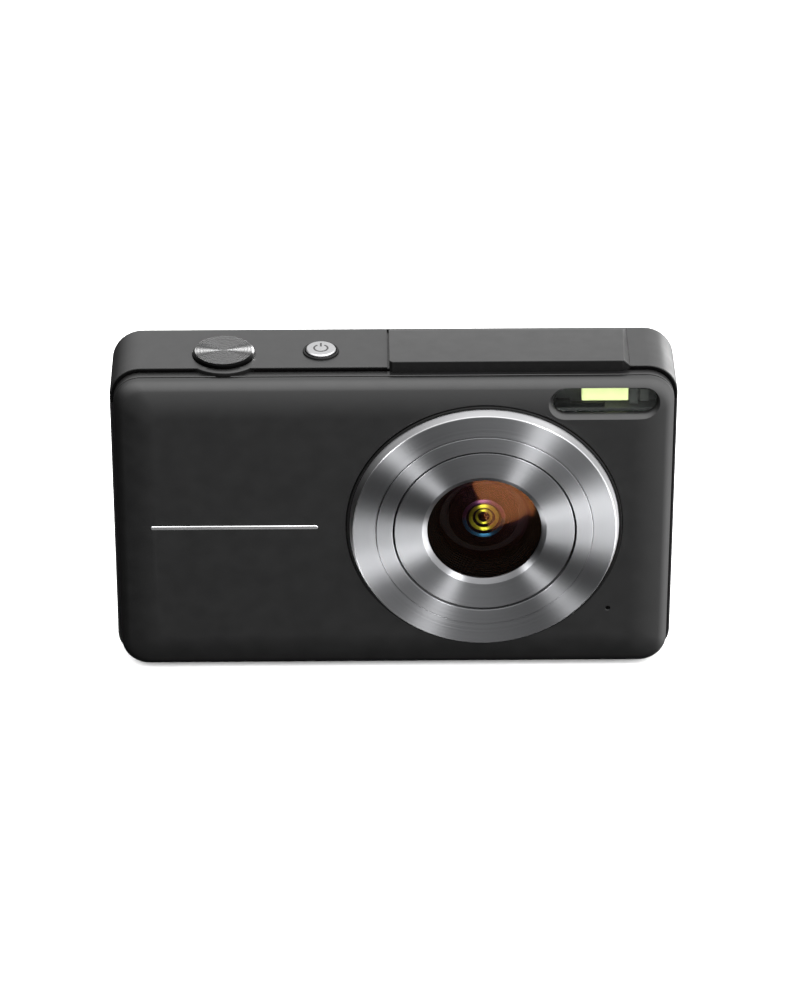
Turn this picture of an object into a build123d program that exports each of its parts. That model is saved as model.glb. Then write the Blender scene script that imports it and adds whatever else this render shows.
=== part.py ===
from build123d import *
import os
from math import cos, radians, sin

# Compact digital camera with a fixed lens, as an assembly of separate pieces. Millimetres.
# +X is to the right of someone looking at the lens, +Z is up, and the lens faces -Y.
# The origin is under the middle of the body's box, on the surface that the camera stands on.
# "Depth" is the distance behind the flat of the front face, measured along +Y.

# ---- Driving dimensions -------------------------------------------------------------------

# Body
BODY_W = 104.0
BODY_H = 62.7
BODY_D = 21.1
CORNER_R = 5.8
LENS_PROUD = 2.2        # the lens rings stand this far in front of the front face
REAR_PROUD = 0.9        # the navigation ring stands this far behind the back face
STEP = 0.8              # the front shell and rim stand in from the middle of the body by this
WALL = 1.6              # top cover and rear shell
SKIN = 1.5              # front shell and back wall
BACK_ROUND = 2.2
SEAM_Z = 55.5           # top cover above, rear shell below
FIT = 0.1               # gap around pieces that are fixed to one another
SLIP = 0.15             # gap around pieces that slide

# Depths of the bands around the front
SKIRT_D = 2.85          # back edge of the front shell
RIM_D = 3.25            # front edge of the rim's outer strip
RIM_BACK_D = 4.9        # back edge of that strip
MID_D = 5.1             # front edge of the top cover and the rear shell
BACK_IN_D = 19.6        # inner face of the back wall
RIM_IN = 3.2            # inner outline of the rim, from the body's outline

# Crowned front face: a tight edge arc, then a wide arc that ends tangent to the flat
EDGE_R = 2.2
CROWN_R = 27.0
CROWN_SLOPE = 12.0      # degrees, where the two arcs meet
CROWN_D = CROWN_R * (1 - cos(radians(CROWN_SLOPE))) + EDGE_R * cos(radians(CROWN_SLOPE))

# Lens
LENS_X = 16.64
LENS_Z = 31.7
BASE_R = 25.5
BEZEL_R = 24.9
FACE_R = 24.4
MID_RING_R = 20.05
GROOVE_R = 17.0
CONE_R = 16.65
RIM_OUT_R = 11.5
GLASS_VIEW_R = 10.55
GLASS_R = 11.1
BARREL_R = 6.5
HOLDER_W = 24.0

# Flash
FLASH_X = 38.5
FLASH_Z = 57.6
FLASH_W = 19.0
FLASH_H = 5.1

# Front trim
TRIM_X0 = -45.0
TRIM_X1 = -14.1
TRIM_H = 0.8
MIC_X = 39.9
MIC_Z = 13.6
MIC_R = 0.43

# Raised deck on the top
DECK_X0 = -0.8
DECK_X1 = 43.1
DECK_RISE = 1.44        # above the top cover, at the front
DECK_BACK_RISE = 0.85   # where its back slope starts
DECK_D = 4.3            # depth of its front wall
DECK_SLOPE_D = 17.0
DECK_BACK_D = 19.3
DECK_BEVEL = 1.2
DECK_SKIN = 0.25

# Shutter and power buttons
SHUTTER_X = -31.1
SHUTTER_D = 10.3
SHUTTER_R = 5.6
SHUTTER_RISE = 0.8
COLLAR_R = 7.1
POWER_X = -13.3
POWER_D = 11.0
POWER_R = 2.75
POWER_RISE = 0.7
SWITCH_TOP = 58.0

# Back: display on the left of someone behind the camera, keys on the right
LCD_X = 17.5
LCD_Z = 28.6
LCD_W = 60.0
LCD_H = 46.0
LCD_VIEW_W = 56.4
LCD_VIEW_H = 42.4
KEY_X = -32.5
NAV_Z = 27.5
KEY_DX = 10.3
KEY_DZ = 14.2
KEY_R = 2.6
NAV_R = 9.9
NAV_HOLE_R = 10.25
OK_R = 4.3
ROCKER_Z = 48.5
ROCKER_W = 15.0
ROCKER_H = 5.0
ROCKER_PIVOT_D = 18.9
PIVOT_D = 18.125        # both tilt axes of the navigation ring
LED_X = -20.0

# Battery, its tray and its door
BATTERY_X0 = -45.2
BATTERY_X1 = -12.2
BATTERY_D0 = 8.0
BATTERY_D1 = 14.0
BATTERY_Z0 = 3.2
BATTERY_Z1 = 41.2
TRAY_WALL = 0.7
DOOR_X0 = -45.95
DOOR_X1 = -11.45
DOOR_D0 = 6.95
DOOR_T = 1.25
HINGE_D = 16.35
HINGE_R = 1.45
PIN_R = 0.5

# Sockets and fasteners
TRIPOD_D = 12.2
TRIPOD_THREAD_R = 3.175  # 1/4 inch camera thread, to its major diameter
TRIPOD_BODY_R = 4.2
USB_Z = 38.5
USB_D = 12.8
CARD_Z = 19.5
CARD_D = 13.6
SCREW_D = 9.6
SCREW_R = 0.7
SCREW_HEAD_R = 1.3
BOTTOM_SCREWS_X = (3.0, 27.5, 45.0)
LEFT_SCREWS_Z = (9.5, 40.0)
RIGHT_SCREWS_Z = (8.2, 49.0)
SPEAKER_X = 37.0
SPEAKER_D = 11.6
STRAP_D = 11.0
STRAP_Z = 49.4

FRONT_Y = (LENS_PROUD - REAR_PROUD - BODY_D) / 2


# ---- Drawing helpers ----------------------------------------------------------------------

def at_depth(depth):
    """Plane at a depth, facing the front; its local x is X and its local y is Z."""
    return Plane(origin=(0, FRONT_Y + depth, 0), x_dir=(1, 0, 0), z_dir=(0, -1, 0))


def slab(sketch, d0, d1):
    """A sketch drawn in X and Z, as a solid from depth d0 to depth d1."""
    return extrude(at_depth(d1) * sketch, amount=d1 - d0)


def block(x0, x1, d0, d1, z0, z1):
    """A box given by its X, depth and Z limits."""
    middle = Pos((x0 + x1) / 2, FRONT_Y + (d0 + d1) / 2, (z0 + z1) / 2)
    return middle * Box(x1 - x0, d1 - d0, z1 - z0)


def disc(x, z, radius, d0, d1):
    """A cylinder along Y."""
    return slab(Pos(x, z) * Circle(radius), d0, d1)


def post(x, depth, radius, z0, z1):
    """A cylinder along Z."""
    return Pos(x, FRONT_Y + depth, (z0 + z1) / 2) * Cylinder(radius, z1 - z0)


def rod(depth, z, radius, x0, x1):
    """A cylinder along X."""
    return Pos((x0 + x1) / 2, FRONT_Y + depth, z) * Rot(0, 90, 0) * Cylinder(radius, x1 - x0)


def slot(x, z, width, height):
    """A slot with round ends, drawn in X and Z, longer along X."""
    return Pos(x, z) * SlotOverall(width, height)


def upright_slot(z, depth, height, width, x0, x1):
    """A solid slot with round ends, longer along Z, that runs along X."""
    plane = Plane(origin=(x0, FRONT_Y + depth, z), x_dir=(0, 0, 1), z_dir=(1, 0, 0))
    return extrude(plane * SlotOverall(height, width), amount=x1 - x0)


def turned(*points):
    """A solid of revolution about the lens axis, from (radius, depth) points of its half section."""
    section = Polygon(*[(radius, FRONT_Y + depth) for radius, depth in points])
    return Pos(LENS_X, 0, LENS_Z) * revolve(section, Axis.Y)


def outline(inset, radius=None):
    """The body's outline seen from the front, drawn in by inset."""
    corner = max(CORNER_R - inset, 0.8) if radius is None else radius
    shape = RectangleRounded(BODY_W - 2 * inset, BODY_H - 2 * inset, corner)
    return Pos(0, BODY_H / 2) * shape


def frame(outer_inset, inner_inset, d0, d1):
    """A closed band that follows the body's outline."""
    return slab(outline(outer_inset) - outline(inner_inset), d0, d1)


def lens_shape(radius, front_sag, edge_d, back_d):
    """A lens with a domed front and a flat back, with its rim between edge_d and back_d."""
    apex = (0, FRONT_Y + edge_d - front_sag)
    rim = (radius, FRONT_Y + edge_d)
    dome_r = (radius**2 + front_sag**2) / (2 * front_sag)
    half = radius / 2
    sag_at_half = dome_r - (dome_r**2 - half**2) ** 0.5
    dome = ThreePointArc(apex, (half, apex[1] + sag_at_half), rim)
    sides = Polyline(rim, (radius, FRONT_Y + back_d), (0, FRONT_Y + back_d), apex)
    return Pos(LENS_X, 0, LENS_Z) * revolve(make_face(dome + sides), Axis.Y)


# ---- Front ------------------------------------------------------------------------------

def crown_sections():
    """(distance in from the front shell's edge, depth) along the crowned face, edge first."""
    slope = sin(radians(CROWN_SLOPE))
    edge = [(EDGE_R * (1 - sin(radians(a))), CROWN_D - EDGE_R * cos(radians(a)))
            for a in (90, 75, 60, 45, 30, 20, CROWN_SLOPE)]
    start = edge[-1][0]
    crown = [(start + CROWN_R * (slope - sin(radians(a))), CROWN_R * (1 - cos(radians(a))))
             for a in (9, 6, 3, 0)]
    return edge + crown


def make_front_shell():
    """Crowned front cover with the lens seat, the flash slot, the trim groove and the mic hole."""
    corner = CORNER_R - STEP
    sections = [at_depth(depth) * outline(STEP + inset, corner - inset / 2)
                for inset, depth in crown_sections()]
    shell = loft(sections, ruled=True) + slab(outline(STEP), CROWN_D, SKIRT_D)
    shell -= slab(outline(STEP + SKIN), SKIN, SKIRT_D + 1)
    shell -= disc(LENS_X, LENS_Z, BASE_R + FIT, -1, 0.6)
    shell -= disc(LENS_X, LENS_Z, 12.7, 0, SKIN + 1)
    lip = [at_depth(-0.4) * slot(FLASH_X, FLASH_Z, FLASH_W + 2.6, FLASH_H + 2.2),
           at_depth(1.1) * slot(FLASH_X, FLASH_Z, FLASH_W, FLASH_H)]
    shell -= loft(lip, ruled=True)
    shell -= slab(slot(FLASH_X, FLASH_Z, FLASH_W, FLASH_H), 0, SKIN + 1)
    trim_x = (TRIM_X0 + TRIM_X1) / 2
    shell -= slab(slot(trim_x, LENS_Z, TRIM_X1 - TRIM_X0 + FIT, TRIM_H + FIT), -1, 0.4)
    shell -= disc(MIC_X, MIC_Z, MIC_R, -1, SKIN + 1)
    return shell


def screw_places():
    """(x, z, direction in along the screw) of the case screws, all at depth SCREW_D."""
    places = [(x, 0, (0, 1)) for x in BOTTOM_SCREWS_X]
    places += [(-BODY_W / 2, z, (1, 0)) for z in LEFT_SCREWS_Z]
    places += [(BODY_W / 2, z, (-1, 0)) for z in RIGHT_SCREWS_Z]
    return places


def screw_bore(place, radius, s0, s1):
    """A cylinder on a case screw's axis, from s0 to s1 in from the outside of the body."""
    x, z, (dx, dz) = place
    if dx:
        ends = sorted((x + dx * s0, x + dx * s1))
        return rod(SCREW_D, z, radius, *ends)
    return post(x, SCREW_D, radius, z + dz * s0, z + dz * s1)


def screw_lug(place):
    """The block of the front rim that a case screw bites into."""
    x, z, (dx, _) = place
    near, far, half = WALL + FIT, WALL + 3.0, 2.2
    if dx:
        ends = sorted((x + dx * near, x + dx * far))
        lug = block(*ends, RIM_BACK_D, SCREW_D + half, z - half, z + half)
    else:
        lug = block(x - half, x + half, RIM_BACK_D, SCREW_D + half, z + near, z + far)
    return lug - screw_bore(place, SCREW_R + 0.02, 0, far + 1)


def make_front_rim():
    """Band behind the front shell: visible strip, recessed neck, and tongues into both shells."""
    rim = frame(STEP, RIM_IN, RIM_D, RIM_BACK_D)
    rim += frame(STEP + 0.5, RIM_IN, SKIRT_D, RIM_D)
    rim += frame(STEP + SKIN + FIT, RIM_IN, SKIN + 0.2, SKIRT_D)
    rim += frame(WALL + FIT, RIM_IN, RIM_BACK_D, 6.1)
    for place in screw_places():
        rim += screw_lug(place)
    rim -= post(SHUTTER_X, SHUTTER_D, COLLAR_R + 0.05, 60.85, BODY_H)
    rim -= block(FLASH_X - 11, FLASH_X + 11, SKIN, 6.2, 54, 60.4)
    return rim


def make_trim_bar():
    trim_x = (TRIM_X0 + TRIM_X1) / 2
    return slab(slot(trim_x, LENS_Z, TRIM_X1 - TRIM_X0, TRIM_H), -0.18, 0.4)


def make_microphone():
    return disc(MIC_X, MIC_Z, 2.0, SKIN + 0.05, SKIN + 1.7)


# ---- Flash ------------------------------------------------------------------------------

def make_flash_window():
    """Clear slot-shaped window with a flange behind the front shell."""
    window = slab(slot(FLASH_X, FLASH_Z, FLASH_W - FIT, FLASH_H - FIT), 1.2, SKIN + 0.1)
    return window + slab(slot(FLASH_X, FLASH_Z, FLASH_W + 1, FLASH_H + 0.5), SKIN + 0.02, 2.1)


def make_flash_housing():
    """Reflector box, open towards the window, cut to fit inside the front shell's corner."""
    x0, x1 = FLASH_X - 10.2, FLASH_X + 10.2
    z0, z1 = FLASH_Z - 2.7, FLASH_Z + 2.65
    box = block(x0, x1, 2.15, 5.6, z0, z1) & slab(outline(STEP + SKIN + FIT), 0, BODY_D)
    return box - block(x0 + 0.7, x1 - 0.7, 2.1, 5.0, z0 + 0.6, z1 - 0.6)


def make_flash_led():
    """Phosphor block of the flash light."""
    return block(34.3, 42.8, 3.0, 5.0, 56.5, 59.2)


# ---- Lens -------------------------------------------------------------------------------

def make_lens_base_ring():
    """Black ring that carries the bright rings, with a spigot through the front shell."""
    return turned((12.2, 0.1), (25.0, 0.1), (25.0, -0.4), (BASE_R - 0.15, -0.4),
                  (BASE_R, -0.25), (BASE_R, 0.6), (12.6, 0.6), (12.6, 2.4), (12.2, 2.4))


def make_lens_bezel_ring():
    """Outer bright ring: tapered wall and flat face."""
    return turned((MID_RING_R + 0.05, 0.1), (BEZEL_R, 0.1), (BEZEL_R, -0.4),
                  (FACE_R, -2.0), (MID_RING_R + 0.05, -2.0))


def make_lens_mid_ring():
    """Middle bright ring, a little prouder than the outer one."""
    front = -LENS_PROUD
    return turned((GROOVE_R, 0.1), (MID_RING_R, 0.1), (MID_RING_R, front + 0.1),
                  (MID_RING_R - 0.1, front), (GROOVE_R + 0.1, front), (GROOVE_R, front + 0.1))


def make_lens_cone_ring():
    """Inner bright ring: shallow cone, and a bevelled lip that holds the glass."""
    return turned((CONE_R, 0.1), (CONE_R, -1.95), (CONE_R - 0.1, -2.05), (RIM_OUT_R, -1.9),
                  (GLASS_VIEW_R, -1.3), (GLASS_VIEW_R, -1.15), (GLASS_R + 0.05, -1.15),
                  (GLASS_R + 0.05, 0.1))


def make_lens_glass():
    return disc(LENS_X, LENS_Z, GLASS_R, -1.13, -0.35)


def make_lens_baffle():
    """Stepped black funnel between the glass and the lens barrel."""
    steps = [(10.6, 0.12), (10.6, 0.9), (9.8, 0.9), (9.8, 1.7), (9.0, 1.7), (9.0, 2.5), (8.2, 2.5)]
    return turned(*steps, (8.2, 4.6), (12.1, 4.6), (12.1, 0.12))


def make_lens_barrel():
    """Black tube with a front lip that holds the rear lens."""
    return turned((5.2, 3.4), (BARREL_R, 3.4), (BARREL_R, 8.6), (4.0, 8.6), (4.0, 7.8), (5.2, 7.8))


def make_lens_holder():
    """Moulded block that holds the barrel, the filter and the sensor in line."""
    half = HOLDER_W / 2
    holder = block(LENS_X - half, LENS_X + half, 4.7, 10.35, LENS_Z - half, LENS_Z + half)
    holder -= disc(LENS_X, LENS_Z, BARREL_R + 0.05, 4, 9.0)
    return holder - block(LENS_X - 4.3, LENS_X + 4.3, 8.8, 11, LENS_Z - 4.3, LENS_Z + 4.3)


def square_plate(half, d0, d1):
    """A square plate centred on the lens axis."""
    return block(LENS_X - half, LENS_X + half, d0, d1, LENS_Z - half, LENS_Z + half)


# ---- Top --------------------------------------------------------------------------------

def make_mid_body():
    """Outer body from the reveal behind the rim to the back wall, open at the front."""
    body = slab(outline(0), MID_D, BODY_D)
    body = fillet(body.faces().sort_by(Axis.Y)[-1].edges(), BACK_ROUND)
    body -= slab(outline(WALL), MID_D - 1, BACK_IN_D)
    undercut = [at_depth(MID_D - 0.01) * outline(0.25), at_depth(MID_D + 1.1) * outline(WALL)]
    return body - loft(undercut, ruled=True)


def deck_envelope():
    """The raised deck: front wall over the rim, sloping top, rolled-off back, bevelled right end."""
    top = BODY_H + DECK_RISE
    back_top = BODY_H + DECK_BACK_RISE
    floor = BODY_H - 0.45
    overhang = BODY_H - STEP + 0.03
    side = [(DECK_D, overhang), (MID_D + 0.05, overhang), (MID_D + 0.05, floor),
            (DECK_BACK_D, floor), (DECK_BACK_D, BODY_H), (DECK_BACK_D - 0.9, BODY_H + 0.42),
            (DECK_SLOPE_D, back_top), (DECK_D, top)]
    side_plane = Plane(origin=(DECK_X0 - 1, 0, 0), x_dir=(0, 1, 0), z_dir=(1, 0, 0))
    outline_yz = Polygon(*[(FRONT_Y + depth, z) for depth, z in side])
    deck = extrude(side_plane * outline_yz, amount=DECK_X1 - DECK_X0 + 2)
    bevel_x = DECK_X1 - DECK_BEVEL
    front = Polygon((DECK_X0, BODY_H - 2), (DECK_X1, BODY_H - 2), (DECK_X1, BODY_H),
                    (bevel_x, top), (bevel_x, top + 1), (DECK_X0, top + 1))
    deck &= slab(front, 0, BODY_D)
    plan = Polygon((DECK_X0, FRONT_Y + BODY_D), (DECK_X0, FRONT_Y + DECK_D + 0.5),
                   (DECK_X0 + 0.5, FRONT_Y + DECK_D), (DECK_X1 - 1.5, FRONT_Y + DECK_D),
                   (DECK_X1, FRONT_Y + MID_D), (DECK_X1, FRONT_Y + BODY_D))
    return deck & extrude(Pos(0, 0, BODY_H - 2) * plan, amount=5)


def make_deck():
    """(carrier, painted cover plate) of the raised deck."""
    envelope = deck_envelope()
    carrier = envelope & (Pos(0, 0, -DECK_SKIN) * envelope)
    plate = envelope - (Pos(0, 0, -DECK_SKIN) * envelope)
    return carrier, plate


def make_top_cover(mid_body):
    """Top of the body, with the button wells, the shutter collar and the deck's pocket."""
    cover = mid_body & block(-BODY_W, BODY_W, 0, BODY_D + 1, SEAM_Z + 0.06, BODY_H + 1)
    cover += post(SHUTTER_X, SHUTTER_D, COLLAR_R, 60.9, BODY_H)
    cover -= post(SHUTTER_X, SHUTTER_D, SHUTTER_R + SLIP, 61.6, BODY_H + 1)
    cover -= post(SHUTTER_X, SHUTTER_D, 1.6, 60, BODY_H)
    cover -= post(POWER_X, POWER_D, POWER_R + 0.12, 60, BODY_H + 1)
    cover -= post(POWER_X, POWER_D, 3.32, BODY_H - 0.4, BODY_H + 1)
    pocket = (DECK_X0 - 0.35, DECK_X1 + 0.02, 4, DECK_BACK_D + 0.02, BODY_H - 0.5, BODY_H + 1)
    return cover - block(*pocket)


def make_shutter_button():
    """Round cap with a bevelled edge, a stem, and a snap ring under the well's floor."""
    top = BODY_H + SHUTTER_RISE
    cap = post(SHUTTER_X, SHUTTER_D, SHUTTER_R, 62.15, top)
    cap = chamfer(cap.faces().sort_by(Axis.Z)[-1].edges(), 0.3)
    stem = post(SHUTTER_X, SHUTTER_D, 1.5, 58.6, 62.2)
    return cap + stem + post(SHUTTER_X, SHUTTER_D, 2.5, 60.35, 60.75)


def make_shutter_spring():
    """Return spring between the top switch board and the shutter's snap ring."""
    wire_r, mean_r, height, pitch = 0.18, 2.1, 2.7, 0.9
    path = Helix(pitch=pitch, height=height, radius=mean_r)
    section = Plane(origin=path @ 0, z_dir=path % 0) * Circle(wire_r)
    return Pos(SHUTTER_X, FRONT_Y + SHUTTER_D, 57.3) * sweep(section, path=path, is_frenet=True)


def make_power_button():
    cap = post(POWER_X, POWER_D, POWER_R, 60.9, BODY_H + POWER_RISE)
    cap = chamfer(cap.faces().sort_by(Axis.Z)[-1].edges(), 0.2)
    return cap + post(POWER_X, POWER_D, 3.4, 60.35, 60.95) + post(POWER_X, POWER_D, 1.2, 58.6, 60.4)


def make_power_bezel():
    """Black ring around the power button, let into the top cover."""
    ring = post(POWER_X, POWER_D, 3.3, BODY_H - 0.4, BODY_H + 0.3)
    return ring - post(POWER_X, POWER_D, POWER_R + 0.12, BODY_H - 1, BODY_H + 1)


def make_top_switch_board():
    return block(-38, -8.5, 7.0, 14.5, 56.2, 57.0)


def make_top_switches():
    """Two push switches, one under each top button."""
    switches = []
    for x, depth in ((SHUTTER_X, SHUTTER_D), (POWER_X, POWER_D)):
        body = block(x - 1.3, x + 1.3, depth - 1.3, depth + 1.3, 57.0, SWITCH_TOP - 0.2)
        switches.append(body + post(x, depth, 0.8, 57.5, SWITCH_TOP))
    return Compound(children=switches)


# ---- Rear shell -------------------------------------------------------------------------

def cross_holes(x, depth, pitch, radius):
    """Five small holes through the bottom wall, in a cross."""
    spots = [(0, 0), (pitch, 0), (-pitch, 0), (0, pitch), (0, -pitch)]
    holes = [post(x + dx, depth + dd, radius, -1, WALL + 1) for dx, dd in spots]
    return Compound(children=holes)


def key_places():
    """(x, z) of the mode, menu, play and delete keys, in that order."""
    return [(KEY_X - KEY_DX, NAV_Z + KEY_DZ), (KEY_X + KEY_DX, NAV_Z + KEY_DZ),
            (KEY_X - KEY_DX, NAV_Z - KEY_DZ), (KEY_X + KEY_DX, NAV_Z - KEY_DZ)]


def cut_back_openings(shell):
    """Display recess and window, and the holes for the keys and the status light."""
    display = Pos(LCD_X, LCD_Z) * RectangleRounded(LCD_W, LCD_H, 1.6)
    view = Pos(LCD_X, LCD_Z) * RectangleRounded(LCD_VIEW_W, LCD_VIEW_H, 0.8)
    through = BODY_D + 1
    shell -= slab(display, 20.25, through)
    shell -= slab(view, BACK_IN_D - 1, through)
    shell -= disc(KEY_X, NAV_Z, NAV_HOLE_R, BACK_IN_D - 1, through)
    shell -= slab(slot(KEY_X, ROCKER_Z, ROCKER_W + 0.6, ROCKER_H + 0.6), BACK_IN_D - 1, through)
    shell -= disc(LED_X, ROCKER_Z, 0.85, BACK_IN_D - 1, through)
    for x, z in key_places():
        shell -= disc(x, z, KEY_R + SLIP, BACK_IN_D - 1, through)
    return shell


def add_hinge_lugs(shell):
    """Two lugs inside the bottom wall that hold the battery door's hinge pin."""
    for x0, x1 in ((DOOR_X0 - 2.3, DOOR_X0 - SLIP), (DOOR_X1 + SLIP, DOOR_X1 + 2.3)):
        shell += block(x0, x1, HINGE_D - 1.5, HINGE_D + 1.6, WALL - 0.2, 3.4)
    return shell - rod(HINGE_D, HINGE_R, PIN_R + 0.02, DOOR_X0 - 1.8, DOOR_X1 + 1.8)


def add_strap_lug(shell):
    """Pocket in the left wall, crossed by the strap bar."""
    x = -BODY_W / 2
    shell += block(x + 1, x + 3.9, STRAP_D - 3.6, STRAP_D + 3.6, STRAP_Z - 3.7, STRAP_Z + 3.7)
    shell -= block(x - 1, x + 2.9, STRAP_D - 2.6, STRAP_D + 2.6, STRAP_Z - 2.6, STRAP_Z + 2.6)
    return shell - post(x + 1.1, STRAP_D, 0.62, STRAP_Z - 3.4, STRAP_Z + 3.4)


def cut_battery_door(shell):
    """Hole for the battery door, and the slot and pocket for its latch slider."""
    hinge_back = HINGE_D + HINGE_R + 0.25
    shell -= block(DOOR_X0 - SLIP, DOOR_X1 + SLIP, DOOR_D0 - SLIP, hinge_back, -1, WALL + 1)
    return shell - block(-10.0, -1.6, 7.2, 11.0, -1, WALL + 1)


def make_rear_shell(mid_body):
    """Back, sides and bottom of the body."""
    shell = mid_body & block(-BODY_W, BODY_W, 0, BODY_D + 1, -1, SEAM_Z - 0.06)
    shell += post(LENS_X, TRIPOD_D, 5.6, WALL - 0.2, 6.4)
    shell = add_strap_lug(shell)
    shell = cut_battery_door(shell)
    shell = add_hinge_lugs(shell)
    shell = cut_back_openings(shell)
    shell -= post(LENS_X, TRIPOD_D, TRIPOD_BODY_R + 0.05, -1, 7)
    for place in screw_places():
        shell -= screw_bore(place, SCREW_HEAD_R + FIT, -0.5, 0.8)
        shell -= screw_bore(place, SCREW_R + 0.1, 0, WALL + 1)
    shell -= cross_holes(SPEAKER_X, SPEAKER_D, 1.8, 0.45)
    right = BODY_W / 2
    shell -= upright_slot(USB_Z, USB_D, 9.5, 3.7, right - 2.5, right + 1)
    card_slot = block(right - 2.5, right + 1, CARD_D - 0.6, CARD_D + 0.6, CARD_Z - 5.7, CARD_Z + 5.7)
    return shell - card_slot


# ---- Back ------------------------------------------------------------------------------

def make_lcd_window():
    face = Pos(LCD_X, LCD_Z) * RectangleRounded(LCD_W - 0.2, LCD_H - 0.2, 1.5)
    return slab(face, 20.3, BODY_D)


def make_lcd_panel():
    return block(LCD_X - 28.8, LCD_X + 28.8, 17.7, 19.55, LCD_Z - 21.8, LCD_Z + 21.8)


def make_key(x, z):
    """Round key: cap, retaining flange and stem."""
    cap = disc(x, z, KEY_R, 19.4, BODY_D + 0.5)
    return cap + disc(x, z, 3.3, 18.85, 19.5) + disc(x, z, 1.0, 17.95, 18.9)


def make_nav_ring():
    """Four-way ring with a dished face and a retaining flange."""
    ring = disc(KEY_X, NAV_Z, NAV_R, 18.75, BODY_D + REAR_PROUD)
    ring = chamfer(ring.faces().sort_by(Axis.Y)[-1].edges(), 0.5)
    ring += disc(KEY_X, NAV_Z, 10.7, 18.75, 19.15)
    return ring - disc(KEY_X, NAV_Z, OK_R + 0.45, 18, BODY_D + 1)


def make_nav_pivot():
    """Gimbal ring with two pairs of trunnions, that lets the four-way ring tilt both ways."""
    pivot = disc(KEY_X, NAV_Z, 6.6, PIVOT_D - 0.225, PIVOT_D + 0.225)
    pivot += rod(PIVOT_D, NAV_Z, 0.22, KEY_X - 7.6, KEY_X + 7.6)
    pivot += post(KEY_X, PIVOT_D, 0.22, NAV_Z - 7.6, NAV_Z + 7.6)
    return pivot - disc(KEY_X, NAV_Z, 5.0, 17, 19)


def make_ok_button():
    return disc(KEY_X, NAV_Z, OK_R, 18.3, BODY_D + 0.65) + disc(KEY_X, NAV_Z, 1.2, 17.95, 18.4)


def make_zoom_rocker():
    """Rocker with a finger ridge at each end, a flange, a pivot pin and two stems."""
    rocker = slab(slot(KEY_X, ROCKER_Z, ROCKER_W, ROCKER_H), 19.1, BODY_D + 0.45)
    rocker += slab(slot(KEY_X, ROCKER_Z, ROCKER_W + 1.4, ROCKER_H + 1.4), 18.8, 19.15)
    rocker += post(KEY_X, ROCKER_PIVOT_D, 0.3, ROCKER_Z - 3.7, ROCKER_Z + 3.7)
    for dx in (-5, 5):
        rocker += disc(KEY_X + dx, ROCKER_Z, 1.0, 17.95, 18.9)
        rocker += block(KEY_X + dx - 0.35, KEY_X + dx + 0.35, BODY_D, BODY_D + 0.75,
                        ROCKER_Z - 1.4, ROCKER_Z + 1.4)
    return rocker


def make_status_led():
    """Light pipe from the key board to the back face."""
    return disc(LED_X, ROCKER_Z, 0.78, 16.35, BODY_D)


def make_keypad_board():
    return block(-47.5, -13.5, 15.3, 16.3, 6.5, 53.0)


def make_dome_switches():
    """Dome switches under the keys, the four-way ring, the OK button and the rocker."""
    spots = key_places() + [(KEY_X, NAV_Z), (KEY_X - 5, ROCKER_Z), (KEY_X + 5, ROCKER_Z)]
    spots += [(KEY_X + 7.5 * dx, NAV_Z + 7.5 * dz) for dx, dz in ((1, 0), (-1, 0), (0, 1), (0, -1))]
    return Compound(children=[disc(x, z, 1.7, 16.3, 16.65) for x, z in spots])


def make_keypad_membrane():
    """Rubber sheet over the dome switches, with a hole for the light pipe."""
    sheet = block(-47.0, -14.0, 16.75, 17.45, 7.0, 52.5)
    return sheet - disc(LED_X, ROCKER_Z, 1.2, 16, 18)


# ---- Battery -----------------------------------------------------------------------------

def make_battery():
    pack = block(BATTERY_X0, BATTERY_X1, BATTERY_D0, BATTERY_D1, BATTERY_Z0, BATTERY_Z1)
    return fillet(pack.edges().filter_by(Axis.Z), 0.8)


def make_battery_tray():
    """Sleeve around the battery, open at the bottom, with a closed top."""
    wall = TRAY_WALL
    x0, x1 = BATTERY_X0 - 0.1, BATTERY_X1 + 0.1
    d0, d1 = BATTERY_D0 - 0.1, BATTERY_D1 + 0.1
    tray = block(x0 - wall, x1 + wall, d0 - wall, d1 + wall, WALL + 0.15, 44.5)
    tray -= block(x0, x1, d0, d1, 0, 43.8)
    for x in contact_places():
        tray -= post(x, (d0 + d1) / 2, 0.75, 43, 45)
    return tray


def contact_places():
    """X of the battery contacts."""
    middle = (BATTERY_X0 + BATTERY_X1) / 2
    return [middle - 6, middle, middle + 6]


def make_battery_contacts():
    """Three sprung contact pins above the battery."""
    depth = (BATTERY_D0 + BATTERY_D1) / 2
    pins = [post(x, depth, 0.7, BATTERY_Z1 + 0.05, 45.3) for x in contact_places()]
    return Compound(children=pins)


def make_battery_door():
    """Door whose back edge is rolled around the hinge pin."""
    door = block(DOOR_X0, DOOR_X1, DOOR_D0, HINGE_D, 0, DOOR_T)
    door += rod(HINGE_D, HINGE_R, HINGE_R, DOOR_X0, DOOR_X1)
    return door - rod(HINGE_D, HINGE_R, PIN_R + 0.06, DOOR_X0 - 1, DOOR_X1 + 1)


def make_door_hinge_pin():
    return rod(HINGE_D, HINGE_R, PIN_R, DOOR_X0 - 1.7, DOOR_X1 + 1.7)


def make_battery_latch():
    """Slider beside the door: ribbed thumb piece outside, plate inside."""
    latch = block(-9.85, -4.3, 7.35, 10.85, 0.35, 1.7)
    for x in (-8.6, -7.1, -5.6):
        latch += block(x - 0.3, x + 0.3, 7.6, 10.6, 0.05, 0.4)
    return latch + block(DOOR_X1 + 0.25, -3.4, 6.7, 11.5, 1.65, 2.4)


# ---- Electronics and sockets ---------------------------------------------------------------

def make_main_board():
    """Circuit board behind the lens, notched around the tripod socket."""
    board = block(-9.8, 50.0, 14.5, 15.5, 5.2, 54.0)
    return board - block(LENS_X - 7, LENS_X + 7, 14, 16, 4, 8)


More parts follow.
